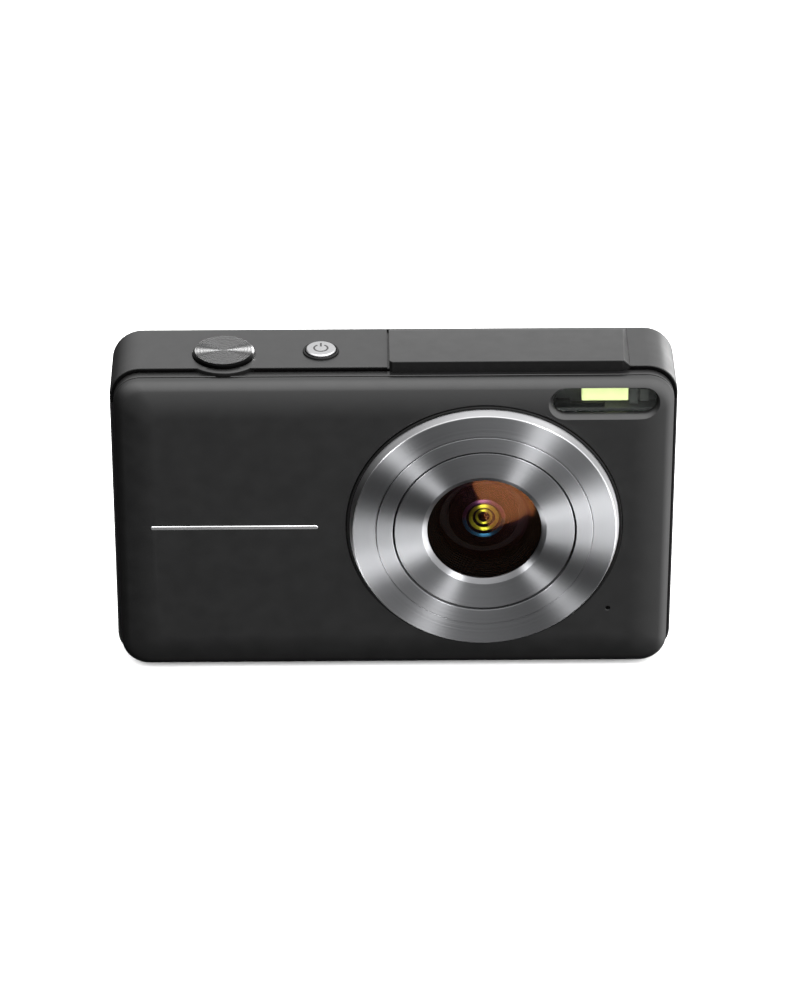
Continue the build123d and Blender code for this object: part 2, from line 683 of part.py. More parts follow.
def make_board_chips():
    """Processor, memory and power chips on the back of the main board."""
    chips = [block(10, 22, 15.5, 16.8, 26, 38), block(27, 37, 15.5, 16.6, 28, 36),
             block(-4, 2, 15.5, 16.5, 14, 20), block(-5, 1, 15.5, 16.5, 40, 46)]
    return Compound(children=chips)


def make_chassis_plate():
    """Pressed steel plate between the lens block and the main board."""
    plate = block(-10.0, 34.0, 12.6, 13.2, 8.0, 55.5)
    plate -= block(-6, 2, 12, 14, 14, 50)
    return plate - disc(27, 50, 2.0, 12, 14)


def make_usb_socket():
    """Metal USB-C shell with its centre tongue."""
    right = BODY_W / 2
    socket = upright_slot(USB_Z, USB_D, 9.0, 3.2, right - 8.1, right - 1.0)
    socket -= upright_slot(USB_Z, USB_D, 8.4, 2.6, right - 7.1, right)
    tongue = block(right - 7.5, right - 2.0, USB_D - 0.35, USB_D + 0.35, USB_Z - 3.3, USB_Z + 3.3)
    return socket + tongue


def make_card_socket():
    """Pressed metal shell that guides the memory card."""
    socket = block(35.4, 50.2, CARD_D - 1.0, CARD_D + 0.85, CARD_Z - 6.6, CARD_Z + 6.6)
    return socket - block(35.9, 51, CARD_D - 0.5, CARD_D + 0.5, CARD_Z - 5.6, CARD_Z + 5.6)


def make_memory_card():
    """Micro-size card, 15 x 11 mm, with a thumb lip at its outer end."""
    end = BODY_W / 2 - 0.3
    card = block(end - 15, end, CARD_D - 0.4, CARD_D + 0.3, CARD_Z - 5.5, CARD_Z + 5.5)
    return card + block(end - 0.9, end, CARD_D - 0.4, CARD_D + 0.48, CARD_Z - 5.0, CARD_Z + 5.0)


def make_speaker():
    return post(SPEAKER_X, SPEAKER_D, 4.6, WALL + 0.1, WALL + 3.2)


def make_tripod_nut():
    """Flanged brass insert, blind at the top."""
    nut = post(LENS_X, TRIPOD_D, TRIPOD_BODY_R, 0.1, 6.5) + post(LENS_X, TRIPOD_D, 5.0, 6.45, 7.3)
    return nut - post(LENS_X, TRIPOD_D, TRIPOD_THREAD_R, 0, 6.3)


def make_strap_bar():
    return post(-BODY_W / 2 + 1.1, STRAP_D, 0.6, STRAP_Z - 3.3, STRAP_Z + 3.3)


def make_case_screw(place):
    """Small screw with a cross recess."""
    x, z, (dx, dz) = place
    screw = screw_bore(place, SCREW_HEAD_R, 0.08, 0.75) + screw_bore(place, SCREW_R, 0.7, 4.2)
    reach, depth = 0.8, 0.45
    if dx:
        face = x + dx * 0.05
        near, far = sorted((face, face + dx * depth))
        screw -= block(near, far, SCREW_D - 0.14, SCREW_D + 0.14, z - reach, z + reach)
        return screw - block(near, far, SCREW_D - reach, SCREW_D + reach, z - 0.14, z + 0.14)
    screw -= block(x - 0.14, x + 0.14, SCREW_D - reach, SCREW_D + reach, 0, depth)
    return screw - block(x - reach, x + reach, SCREW_D - 0.14, SCREW_D + 0.14, 0, depth)


def make_case_screws():
    return Compound(children=[make_case_screw(place) for place in screw_places()])


# ---- Assembly ---------------------------------------------------------------------------

def make_parts():
    """Every piece of the camera, by node name."""
    mid_body = make_mid_body()
    deck_carrier, deck_plate = make_deck()
    keys = [make_key(x, z) for x, z in key_places()]
    return {
        "front_shell": make_front_shell(),
        "front_rim": make_front_rim(),
        "trim_bar": make_trim_bar(),
        "microphone": make_microphone(),
        "flash_window": make_flash_window(),
        "flash_housing": make_flash_housing(),
        "flash_led": make_flash_led(),
        "lens_base_ring": make_lens_base_ring(),
        "lens_bezel_ring": make_lens_bezel_ring(),
        "lens_mid_ring": make_lens_mid_ring(),
        "lens_cone_ring": make_lens_cone_ring(),
        "lens_glass": make_lens_glass(),
        "lens_baffle": make_lens_baffle(),
        "lens_front_element": lens_shape(8.9, 1.2, 1.9, 2.45),
        "lens_barrel": make_lens_barrel(),
        "lens_rear_element": lens_shape(5.1, 1.0, 6.2, 7.75),
        "lens_holder": make_lens_holder(),
        "ir_filter": square_plate(3.7, 8.9, 9.3),
        "image_sensor": square_plate(3.8, 9.6, 10.4),
        "sensor_board": square_plate(11.0, 10.4, 11.2),
        "top_cover": make_top_cover(mid_body),
        "deck_carrier": deck_carrier,
        "deck_plate": deck_plate,
        "shutter_button": make_shutter_button(),
        "shutter_spring": make_shutter_spring(),
        "power_button": make_power_button(),
        "power_bezel": make_power_bezel(),
        "top_switch_board": make_top_switch_board(),
        "top_switches": make_top_switches(),
        "rear_shell": make_rear_shell(mid_body),
        "lcd_window": make_lcd_window(),
        "lcd_panel": make_lcd_panel(),
        "mode_button": keys[0],
        "menu_button": keys[1],
        "play_button": keys[2],
        "delete_button": keys[3],
        "nav_ring": make_nav_ring(),
        "nav_pivot": make_nav_pivot(),
        "ok_button": make_ok_button(),
        "zoom_rocker": make_zoom_rocker(),
        "status_led": make_status_led(),
        "keypad_board": make_keypad_board(),
        "dome_switches": make_dome_switches(),
        "keypad_membrane": make_keypad_membrane(),
        "battery": make_battery(),
        "battery_tray": make_battery_tray(),
        "battery_contacts": make_battery_contacts(),
        "battery_door": make_battery_door(),
        "door_hinge_pin": make_door_hinge_pin(),
        "battery_latch": make_battery_latch(),
        "main_board": make_main_board(),
        "board_chips": make_board_chips(),
        "chassis_plate": make_chassis_plate(),
        "usb_socket": make_usb_socket(),
        "card_socket": make_card_socket(),
        "memory_card": make_memory_card(),
        "speaker": make_speaker(),
        "tripod_nut": make_tripod_nut(),
        "strap_bar": make_strap_bar(),
        "case_screws": make_case_screws(),
    }


os.makedirs("parts", exist_ok=True)
for node, shape in make_parts().items():
    export_step(shape, f"parts/{node}.step")
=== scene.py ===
from math import cos, pi, radians, sin, tan

import bmesh
import bpy
from mathutils import Matrix, Vector


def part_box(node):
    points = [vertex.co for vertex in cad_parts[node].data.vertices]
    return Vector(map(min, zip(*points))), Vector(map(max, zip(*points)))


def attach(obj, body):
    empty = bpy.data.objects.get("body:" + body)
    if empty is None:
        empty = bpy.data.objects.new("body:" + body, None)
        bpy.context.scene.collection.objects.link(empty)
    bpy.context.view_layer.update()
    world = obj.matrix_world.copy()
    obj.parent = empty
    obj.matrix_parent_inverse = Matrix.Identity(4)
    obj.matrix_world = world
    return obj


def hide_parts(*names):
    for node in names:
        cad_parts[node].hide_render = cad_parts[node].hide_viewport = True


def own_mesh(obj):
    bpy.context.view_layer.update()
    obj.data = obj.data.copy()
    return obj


# Compact digital camera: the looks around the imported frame.
# Meshes are drawn in millimetres and scaled to metres when they are placed. "Depth" is the distance
# behind the flat of the front face, along +Y, as in the part's own drawing.

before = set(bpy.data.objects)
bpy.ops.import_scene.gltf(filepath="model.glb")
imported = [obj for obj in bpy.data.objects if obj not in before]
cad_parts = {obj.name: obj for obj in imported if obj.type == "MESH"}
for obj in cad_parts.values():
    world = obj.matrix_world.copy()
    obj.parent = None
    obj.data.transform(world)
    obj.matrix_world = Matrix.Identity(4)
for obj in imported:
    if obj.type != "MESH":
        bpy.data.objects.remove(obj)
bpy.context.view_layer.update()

MM = 0.001


def limits(node):
    """Lowest and highest corner of a CAD node, in millimetres."""
    low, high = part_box(node)
    return low / MM, high / MM


# ---- Sizes from the frame ----

SHELL = limits("rear_shell")
COVER = limits("top_cover")
FACE = limits("front_shell")
RINGS = limits("lens_mid_ring")

FRONT_Y = FACE[0].y
BODY_W = SHELL[1].x - SHELL[0].x
BODY_H = COVER[1].z
BODY_D = SHELL[1].y - FRONT_Y
STEP = SHELL[1].x - FACE[1].x
SKIRT_D = FACE[1].y - FRONT_Y
MID_D = SHELL[0].y - FRONT_Y
LENS_PROUD = FRONT_Y - RINGS[0].y


def depth_of(node, end):
    """Depth of a CAD node's front (end 0) or back (end 1)."""
    return limits(node)[end].y - FRONT_Y


TRIM = limits("trim_bar")
TRIM_X = (TRIM[0].x + TRIM[1].x) / 2
TRIM_W = TRIM[1].x - TRIM[0].x
DECK = limits("deck_plate")
DECK_X0, DECK_X1 = DECK[0].x, DECK[1].x
DECK_TOP = DECK[1].z
DECK_D = depth_of("deck_plate", 0)
DECK_BACK_D = depth_of("deck_plate", 1)


# ---- Sizes of the details, in millimetres ----

CORNER_R = 5.8
WALL = 1.6
SKIN = 1.5
BACK_ROUND = 2.2
RIM_D = 3.25
RIM_BACK_D = 4.9
RIM_END_D = 6.1
RIM_IN = 3.2
BACK_IN_D = 19.6
FIT = 0.1
SLIP = 0.15
SOFT_EDGE = 0.12        # rounding of the moulded edges
SKIRT_CHAMFER = 0.06

EDGE_R = 2.2
CROWN_R = 27.0
CROWN_SLOPE = 12
CROWN_D = CROWN_R * (1 - cos(radians(CROWN_SLOPE))) + EDGE_R * cos(radians(CROWN_SLOPE))

LENS_X = 16.64
LENS_Z = 31.7
BASE_R = 25.5
BEZEL_R = 24.9
FACE_R = 24.4
MID_RING_R = 20.05
GROOVE_R = 17.0
CONE_R = 16.65
RIM_OUT_R = 11.5
GLASS_VIEW_R = 10.55
GLASS_R = 11.1

FLASH_X = 38.5
FLASH_Z = 57.6
FLASH_W = 19.0
FLASH_H = 5.1

TRIM_H = 0.8
MIC_X = 39.9
MIC_Z = 13.6
MIC_R = 0.43

DECK_BACK_RISE = 0.85
DECK_SLOPE_D = 17.0
DECK_BEVEL = 1.2
DECK_SKIN = 0.25

SHUTTER_X = -31.1
SHUTTER_D = 10.3
SHUTTER_R = 5.6
CAP_LOW_Z = 62.15       # underside of the shutter's cap
WELL_FLOOR_Z = 61.6
COLLAR_R = 7.1
COLLAR_LOW_Z = 60.9
STEM_LOW_Z = 58.6       # tips of the top buttons' stems, on their switches
SNAP_LOW_Z = 60.35      # snap ring of the shutter, and flange of the power button
SNAP_TOP_Z = 60.75
POWER_X = -13.3
POWER_D = 11.0
POWER_R = 2.75
POWER_FLANGE_Z = 60.95
POWER_GAP = 0.12
BEZEL_RING_R = 3.3
BEZEL_SINK = 0.4

LCD_X = 17.5
LCD_Z = 28.6
LCD_W = 60.0
LCD_H = 46.0
LCD_CORNER_R = 1.6
LCD_VIEW_W = 56.4
LCD_VIEW_H = 42.4
KEY_X = -32.5
NAV_Z = 27.5
KEY_DX = 10.3
KEY_DZ = 14.2
KEY_R = 2.6
KEY_RISE = 0.5
KEY_STEM_D = 17.95      # tips of the keys' stems, on the dome switches
KEY_FLANGE_D = 18.85
KEY_FLANGE_BACK_D = 19.5
NAV_FLANGE_D = 18.75
NAV_FLANGE_BACK_D = 19.15
NAV_R = 9.9
NAV_HOLE_R = 10.25
OK_R = 4.3
ROCKER_Z = 48.5
ROCKER_W = 15.0
ROCKER_H = 5.0
ROCKER_RISE = 0.45
LED_X = -20.0

HINGE_D = 16.35
HINGE_R = 1.45
PIN_R = 0.5
THUMB_X0 = -9.85
THUMB_X1 = -4.3
LATCH_D = 9.1
LATCH_TRAVEL = 2.5
LATCH_SLOT_W = 3.8
TRIPOD_D = 12.2
TRIPOD_THREAD_R = 3.175
TRIPOD_BODY_R = 4.2
THREAD_PITCH = 1.27
USB_Z = 38.5
USB_D = 12.8
CARD_Z = 19.5
CARD_D = 13.6
SCREW_D = 9.6
SCREW_R = 0.7
SCREW_HEAD_R = 1.3
BOTTOM_SCREWS_X = (3.0, 27.5, 45.0)
LEFT_SCREWS_Z = (9.5, 40.0)
RIGHT_SCREWS_Z = (8.2, 49.0)
SPEAKER_X = 37.0
SPEAKER_D = 11.6
SPEAKER_R = 0.45
SPEAKER_PITCH = 1.8
STRAP_D = 11.0
STRAP_Z = 49.4
STRAP_BAR_R = 0.6
STRAP_BAR_IN = 1.1      # from the left side to the bar's axis


# ---- Mesh helpers ----

def rounded(width, height, radius, centre=(0, 0), steps=8):
    """Outline of a rounded rectangle, anticlockwise."""
    points = []
    half_w, half_h = width / 2 - radius, height / 2 - radius
    for turn, (sx, sy) in enumerate(((1, 1), (-1, 1), (-1, -1), (1, -1))):
        for i in range(steps + 1):
            angle = radians(90 * turn + 90 * i / steps)
            points.append((centre[0] + sx * half_w + radius * cos(angle),
                           centre[1] + sy * half_h + radius * sin(angle)))
    return points


def circle(radius, centre=(0, 0), steps=64):
    return [(centre[0] + radius * cos(2 * pi * i / steps), centre[1] + radius * sin(2 * pi * i / steps))
            for i in range(steps)]


def front_ring(points, depth):
    """Points drawn in X and Z, at a depth."""
    return [(x, FRONT_Y + depth, z) for x, z in points]


def top_ring(points, z):
    """Points drawn in X and depth, at a height."""
    return [(x, FRONT_Y + depth, z) for x, depth in points]


def side_ring(points, x):
    """Points drawn in depth and Z, at an X."""
    return [(x, FRONT_Y + depth, z) for depth, z in points]


def linked(name, data):
    """A new object in the scene."""
    obj = bpy.data.objects.new(name, data)
    bpy.context.scene.collection.objects.link(obj)
    return obj


def new_object(name, bm):
    """A mesh object in millimetres from a bmesh, merged and with its normals outwards."""
    bmesh.ops.remove_doubles(bm, verts=bm.verts, dist=1e-4)
    bmesh.ops.dissolve_degenerate(bm, edges=bm.edges, dist=1e-5)
    bmesh.ops.recalc_face_normals(bm, faces=bm.faces)
    if bm.calc_volume(signed=True) < 0:
        bmesh.ops.reverse_faces(bm, faces=bm.faces)
    mesh = bpy.data.meshes.new(name)
    bm.to_mesh(mesh)
    bm.free()
    return linked(name, mesh)


def stack(name, rings, closed=False):
    """A solid through rings of points, capped at both ends or closed into a loop."""
    bm = bmesh.new()
    rows = [[bm.verts.new(point) for point in ring] for ring in rings]
    pairs = list(zip(rows, rows[1:]))
    if closed:
        pairs.append((rows[-1], rows[0]))
    count = len(rows[0])
    for low, high in pairs:
        for i in range(count):
            bm.faces.new((low[i], low[(i + 1) % count], high[(i + 1) % count], high[i]))
    if not closed:
        bm.faces.new(rows[0])
        bm.faces.new(rows[-1])
    return new_object(name, bm)


def softened(corners, radius, steps=3):
    """A closed section with its corners rounded. A corner may carry its own radius as a third value."""
    points = []
    count = len(corners)
    for i, corner in enumerate(corners):
        here = Vector(corner[:2])
        before = Vector(corners[i - 1][:2]) - here
        after = Vector(corners[(i + 1) % count][:2]) - here
        size = corner[2] if len(corner) > 2 else radius
        half = before.angle(after) / 2
        reach = 0 if size == 0 else min(size / tan(half), 0.45 * before.length, 0.45 * after.length)
        if reach < 1e-3 or half > radians(88):
            points.append(tuple(here))
            continue
        start, end = here + before.normalized() * reach, here + after.normalized() * reach
        arc_r = reach * tan(half)
        middle = here + (before.normalized() + after.normalized()).normalized() * arc_r / sin(half)
        first, last = start - middle, end - middle
        turn = first.angle_signed(last)
        for step in range(steps + 1):
            arm = first.copy()
            arm.rotate(Matrix.Rotation(-turn * step / steps, 2))
            points.append(tuple(middle + arm))
    return points


def lathe(name, section, centre, axis="Y", steps=128):
    """A solid of revolution from a closed section of (radius, height) points.
    About Y the centre is (x, z) and the height is a depth; about Z it is (x, depth) and the height is z."""
    rings = []
    for radius, height in section:
        loop = circle(max(radius, 0), centre, steps)
        rings.append(front_ring(loop, height) if axis == "Y" else top_ring(loop, height))
    bm = bmesh.new()
    rows = [[bm.verts.new(point) for point in ring] for ring in rings]
    for j, low in enumerate(rows):
        high = rows[(j + 1) % len(rows)]
        if section[j][0] <= 0 and section[(j + 1) % len(rows)][0] <= 0:
            continue
        for i in range(steps):
            bm.faces.new((low[i], low[(i + 1) % steps], high[(i + 1) % steps], high[i]))
    return new_object(name, bm)


def rect_shape(x, z, width, height, radius, steps=8):
    """Outline of a rounded rectangle about a point, as a function of its growth."""
    return lambda grow: rounded(width + 2 * grow, height + 2 * grow, radius + grow, (x, z), steps)


def slot_shape(x, z, width, height, steps=10):
    """Outline with round ends, as a function of its growth."""
    return rect_shape(x, z, width, height, height / 2 - 1e-3, steps)


def round_shape(x, z, radius, steps=64):
    """Round outline, as a function of its growth."""
    return lambda grow: circle(radius + grow, (x, z), steps)


def slab(name, shape, edge, d0, d1):
    """A plate with rounded edges between two depths, whose outline is shape(growth)."""
    return stack(name, [front_ring(shape(-inset), depth) for inset, depth in edge_rings(edge, d0, d1)])


def box(name, x0, x1, d0, d1, z0, z1, edge=0.0):
    """A block with softened edges, given by its X, depth and Z limits."""
    if edge == 0:
        flat = [(x0, z0), (x1, z0), (x1, z1), (x0, z1)]
        return stack(name, [front_ring(flat, d0), front_ring(flat, d1)])
    shape = rect_shape((x0 + x1) / 2, (z0 + z1) / 2, x1 - x0, z1 - z0, edge * 1.01, 3)
    return slab(name, shape, edge, d0, d1)


def edge_rings(edge, low, high, steps=3):
    """(inset, height) pairs of a block whose both ends are rounded."""
    arc = [radians(90 * i / steps) for i in range(steps + 1)]
    rings = [(edge * (1 - sin(a)), low + edge * (1 - cos(a))) for a in arc]
    rings += [(edge * (1 - cos(a)), high - edge * (1 - sin(a))) for a in arc]
    return rings


def lip_rings(surface, inner, lip):
    """(growth, height) pairs of a cutter that leaves a rounded lip at the surface it enters."""
    way = 1 if inner > surface else -1
    rings = [(1.153 * lip, surface - way), (1.153 * lip, surface - way * 0.12 * lip)]
    for angle in (70, 50, 30, 12, 0):
        t = radians(angle)
        rings.append((lip * (1 - cos(t)), surface + way * lip * (1 - sin(t))))
    return rings + [(0, inner)]


def cutter(shape, place, surface, inner, lip=SOFT_EDGE):
    """A cutter whose outline is shape(growth), laid by place, from a surface inwards."""
    return stack("cutter", [place(shape(grow), height) for grow, height in lip_rings(surface, inner, lip)])


def applied(obj):
    """Bakes an object's modifiers into its mesh."""
    graph = bpy.context.evaluated_depsgraph_get()
    mesh = bpy.data.meshes.new_from_object(obj.evaluated_get(graph))
    obj.modifiers.clear()
    old = obj.data
    obj.data = mesh
    bpy.data.meshes.remove(old)
    return obj


def combine(obj, tools, operation):
    """Boolean of an object with others, which are used up."""
    for tool in tools:
        change = obj.modifiers.new("combine", "BOOLEAN")
        change.operation = operation
        change.solver = "EXACT"
        change.object = tool
    applied(obj)
    bm = bmesh.new()
    bm.from_mesh(obj.data)
    bmesh.ops.remove_doubles(bm, verts=bm.verts, dist=1e-5)
    bm.to_mesh(obj.data)
    bm.free()
    for tool in tools:
        bpy.data.objects.remove(tool)
    return obj


def cut(obj, *tools):
    return combine(obj, tools, "DIFFERENCE")


def fuse(obj, *tools):
    return combine(obj, tools, "UNION")


def gather(name, objects):
    """Several separate solids as one object."""
    bm = bmesh.new()
    for obj in objects:
        bm.from_mesh(obj.data)
        bpy.data.objects.remove(obj)
    mesh = bpy.data.meshes.new(name)
    bm.to_mesh(mesh)
    bm.free()
    return linked(name, mesh)


def twin(obj):
    """A separate copy of an object."""
    return linked(obj.name, obj.data.copy())


def shade(obj, angle=32):
    """Smooth shading with sharp edges, and normals that keep large faces flat."""
    obj.data.polygons.foreach_set("use_smooth", [True] * len(obj.data.polygons))
    obj.data.set_sharp_from_angle(angle=radians(angle))
    normals = obj.modifiers.new("normals", "WEIGHTED_NORMAL")
    normals.keep_sharp = True
    return obj


def place(obj, body, slot, material):
    """Scales a finished mesh to metres and puts it in the model. It replaces the CAD node of its name."""
    node = obj.name.split(".")[0]
    obj.data.transform(Matrix.Scale(MM, 4))
    obj.data.materials.clear()
    obj.data.materials.append(material)
    shade(obj)
    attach(obj, body)
    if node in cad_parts:
        obj.name = node + "_piece"
        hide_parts(node)
    return obj


# ---- Material helpers ----

class Nodes:
    """A node tree, with the few kinds of nodes that the materials and the studio share."""

    def __init__(self, tree):
        self.tree = tree

    def add(self, kind, **properties):
        node = self.tree.nodes.new(kind)
        for name, value in properties.items():
            setattr(node, name, value)
        return node

    def link(self, source, target):
        self.tree.links.new(source, target)

    def math(self, operation, first, second=None):
        """A math node's result. Inputs are sockets or numbers."""
        node = self.add("ShaderNodeMath", operation=operation)
        for socket, value in zip(node.inputs, (first, second)):
            if isinstance(value, (int, float)):
                socket.default_value = value
            elif value is not None:
                self.link(value, socket)
        return node.outputs[0]

    def ranged(self, value, low, high, start=0.3, end=0.7, kind="LINEAR"):
        """A value from start to end, mapped to low to high."""
        node = self.add("ShaderNodeMapRange", interpolation_type=kind)
        for name, number in (("From Min", start), ("From Max", end), ("To Min", low), ("To Max", high)):
            node.inputs[name].default_value = number
        self.link(value, node.inputs["Value"])
        return node.outputs[0]

    def along(self, vector, axis):
        """One coordinate of a vector."""
        node = self.add("ShaderNodeSeparateXYZ")
        self.link(vector, node.inputs[0])
        return node.outputs[axis]


class Surface(Nodes):
    """A node material around one Principled shader, with patterns in the row frame, in millimetres."""

    def __init__(self, name, colour, roughness, **sockets):
        self.material = bpy.data.materials.new(name)
        self.material.use_nodes = True
        super().__init__(self.material.node_tree)
        self.shader = self.tree.nodes["Principled BSDF"]
        self.shader.inputs["Base Color"].default_value = (*colour, 1)
        self.shader.inputs["Roughness"].default_value = roughness
        for socket, value in sockets.items():
            self.shader.inputs[socket.replace("_", " ")].default_value = value
        coordinates = self.add("ShaderNodeTexCoord")
        scale = self.add("ShaderNodeVectorMath", operation="SCALE")
        scale.inputs["Scale"].default_value = 1 / MM
        self.link(coordinates.outputs["Object"], scale.inputs[0])
        self.position = scale.outputs[0]
        self.height = None

    def noise(self, pitch, detail=2.0, stretch=(1, 1, 1)):
        """Noise from 0 to 1 with features of about that pitch, in millimetres."""
        spread = self.add("ShaderNodeVectorMath", operation="MULTIPLY")
        spread.inputs[1].default_value = stretch
        self.link(self.position, spread.inputs[0])
        node = self.add("ShaderNodeTexNoise")
        node.inputs["Scale"].default_value = 1 / pitch
        node.inputs["Detail"].default_value = detail
        self.link(spread.outputs[0], node.inputs["Vector"])
        return node.outputs["Fac"]

    def mixed(self, share, first, second):
        """Two colours mixed by a share. Colours are triples or sockets."""
        node = self.add("ShaderNodeMix", data_type="RGBA")
        self.link(share, node.inputs["Factor"])
        for name, colour in (("A", first), ("B", second)):
            socket = [s for s in node.inputs if s.name == name and s.type == "RGBA"][0]
            if isinstance(colour, tuple):
                socket.default_value = (*colour, 1)
            else:
                self.link(colour, socket)
        return [s for s in node.outputs if s.type == "RGBA"][0]

    def colour(self, socket):
        self.link(socket, self.shader.inputs["Base Color"])

    def roughness(self, socket):
        self.link(socket, self.shader.inputs["Roughness"])

    def bump(self, height, distance, strength=1.0):
        """Adds a height, whose full swing is distance millimetres, to the surface."""
        node = self.add("ShaderNodeBump")
        node.inputs["Strength"].default_value = strength
        node.inputs["Distance"].default_value = distance * MM
        self.link(height, node.inputs["Height"])
        if self.height is not None:
            self.link(self.height, node.inputs["Normal"])
        self.height = node.outputs["Normal"]
        self.link(self.height, self.shader.inputs["Normal"])

    def turned(self, axis):
        """Stretches highlights across fine circles about an axis."""
        self.shader.inputs["Anisotropic"].default_value = 1.0
        self.shader.inputs["Anisotropic Rotation"].default_value = 0.25
        tangent = self.add("ShaderNodeTangent", direction_type="RADIAL", axis=axis)
        self.link(tangent.outputs[0], self.shader.inputs["Tangent"])

    def radius_from(self, centre, axis):
        """Distance from a line along Y through (x, z), or along Z through (x, y), in millimetres."""
        offset = self.add("ShaderNodeVectorMath", operation="SUBTRACT")
        x, other = centre
        offset.inputs[1].default_value = (x, 0, other) if axis == "Y" else (x, other, 0)
        self.link(self.position, offset.inputs[0])
        flat = self.add("ShaderNodeVectorMath", operation="MULTIPLY")
        flat.inputs[1].default_value = (1, 0, 1) if axis == "Y" else (1, 1, 0)
        self.link(offset.outputs[0], flat.inputs[0])
        length = self.add("ShaderNodeVectorMath", operation="LENGTH")
        self.link(flat.outputs[0], length.inputs[0])
        return length.outputs["Value"]

    def lines(self, coordinate, pitch):
        """One-dimensional noise across a coordinate, such as turning marks."""
        node = self.add("ShaderNodeTexNoise", noise_dimensions="1D")
        node.inputs["Scale"].default_value = 1 / pitch
        node.inputs["Detail"].default_value = 3.0
        self.link(coordinate, node.inputs["W"])
        return node.outputs["Fac"]


def satin_paint():
    """Fine satin black paint of the front, the top and the deck."""
    s = Surface("satin_paint", (0.004, 0.004, 0.0041), 0.36, Specular_IOR_Level=0.42)
    s.roughness(s.ranged(s.noise(3.0), 0.33, 0.39))
    s.colour(s.mixed(s.noise(0.25), (0.0034, 0.0034, 0.0035), (0.0046, 0.0046, 0.0047)))
    s.bump(s.noise(0.18, 3.0), 0.0015)
    return s.material


def grained(name, colour, roughness, pitch=0.22, grain=0.008, specular=0.4):
    """Moulded plastic with a fine sparked texture."""
    s = Surface(name, colour, roughness, Specular_IOR_Level=specular)
    s.roughness(s.ranged(s.noise(6 * pitch), roughness - 0.04, roughness + 0.05))
    s.colour(s.mixed(s.noise(1.4 * pitch), tuple(0.87 * c for c in colour), tuple(1.15 * c for c in colour)))
    s.bump(s.noise(pitch, 4.0), grain)
    return s.material


def spun_metal(name, centre, axis, colour, roughness, edge_r, edge_colour, marks=0.0):
    """Turned metal whose fine circles spread highlights into wedges. Beyond edge_r its colour turns to
    edge_colour: on the lens rings a painted highlight on the bezel's outer wall, on the shutter button a
    darker rim.
    """
    s = Surface(name, colour, roughness, Metallic=1.0)
    s.turned(axis)
    radius = s.radius_from(centre, axis)
    s.roughness(s.ranged(s.lines(radius, 0.3), roughness - 0.03, roughness + 0.04))
    # Colour by radius: beyond edge_r the edge colour, which on the lens bezel's outer wall is a painted
    # highlight.
    s.colour(s.mixed(s.ranged(radius, 0, 1, edge_r - 0.02, edge_r + 0.02), colour, edge_colour))
    if marks > 0:
        s.bump(s.lines(radius, 0.12), marks)
    return s.material


def plain_metal(name, colour, roughness, stretch=(1, 1, 1)):
    """Plated or drawn metal with faint streaks."""
    s = Surface(name, colour, roughness, Metallic=1.0)
    s.roughness(s.ranged(s.noise(0.5, 3.0, stretch), 0.75 * roughness, 1.4 * roughness))
    s.bump(s.noise(0.25, 2.0, stretch), 0.0006)
    return s.material


def clear_cover(name, tint, gloss, strength=1.0, roughness=0.03):
    """Clear glass or plastic with its reflections on top. The gloss colour is that of its coating."""
    s = Surface(name, tint, roughness)
    clear = s.add("ShaderNodeBsdfTransparent")
    clear.inputs["Color"].default_value = (*tint, 1)
    shine = s.add("ShaderNodeBsdfGlossy")
    shine.inputs["Color"].default_value = (*gloss, 1)
    s.link(s.ranged(s.noise(2.0), 0.7 * roughness, 1.4 * roughness), shine.inputs["Roughness"])
    facing = s.add("ShaderNodeLayerWeight").outputs["Facing"]
    fresnel = s.math("ADD", s.math("MULTIPLY", s.math("POWER", facing, 5.0), 0.96), 0.04)
    mix = s.add("ShaderNodeMixShader")
    s.link(s.math("MULTIPLY", fresnel, strength), mix.inputs[0])
    s.link(clear.outputs[0], mix.inputs[1])
    s.link(shine.outputs[0], mix.inputs[2])
    s.link(mix.outputs[0], s.tree.nodes["Material Output"].inputs["Surface"])
    s.tree.nodes.remove(s.shader)
    return s.material


def within(s, axis, centre, half, blur=0.05):
    """1 where a coordinate lies within half of a centre, else 0."""
    away = s.math("ABSOLUTE", s.math("SUBTRACT", s.along(s.position, axis), centre))
    return s.ranged(away, 1.0, 0.0, half - blur, half + blur)


def display_glass():
    """Cover glass of the display: black border, and a faintly lighter picture area."""
    s = Surface("display_glass", (0.004, 0.004, 0.004), 0.07)
    area = s.math("MULTIPLY", within(s, "X", LCD_X, LCD_VIEW_W / 2), within(s, "Z", LCD_Z, LCD_VIEW_H / 2))
    s.colour(s.mixed(area, (0.003, 0.003, 0.003), (0.012, 0.013, 0.016)))
    s.roughness(s.ranged(s.noise(4.0), 0.05, 0.09))
    return s.material


def circuit_board():
    """Green board with tracks under its lacquer."""
    s = Surface("circuit_board", (0.01, 0.09, 0.03), 0.35)
    tracks = s.add("ShaderNodeTexBrick")
    tracks.inputs["Scale"].default_value = 1.0
    tracks.inputs["Mortar Size"].default_value = 0.08
    tracks.inputs["Brick Width"].default_value = 1.6
    tracks.inputs["Row Height"].default_value = 0.7
    s.link(s.position, tracks.inputs["Vector"])
    s.colour(s.mixed(tracks.outputs["Fac"], (0.008, 0.075, 0.026), (0.02, 0.16, 0.05)))
    s.bump(tracks.outputs["Fac"], 0.02)
    return s.material


def phosphor():
    """Pale yellow-green lamp block under its diffuser."""
    s = Surface("phosphor", (0.9, 1.0, 0.5), 0.4)
    s.colour(s.mixed(s.noise(0.5), (0.86, 0.97, 0.42), (0.93, 1.0, 0.56)))
    s.bump(s.noise(0.3), 0.01)
    s.shader.inputs["Emission Color"].default_value = (0.9, 1.0, 0.45, 1)
    s.shader.inputs["Emission Strength"].default_value = 0.55
    return s.material


def battery_label():
    """Shrink wrap of the cell: dark blue with a pale band."""
    s = Surface("battery_label", (0.02, 0.03, 0.07), 0.3)
    s.colour(s.mixed(within(s, "Z", 24, 2.5), (0.015, 0.022, 0.05), (0.5, 0.5, 0.5)))
    s.bump(s.noise(1.5, 3.0), 0.03)
    return s.material


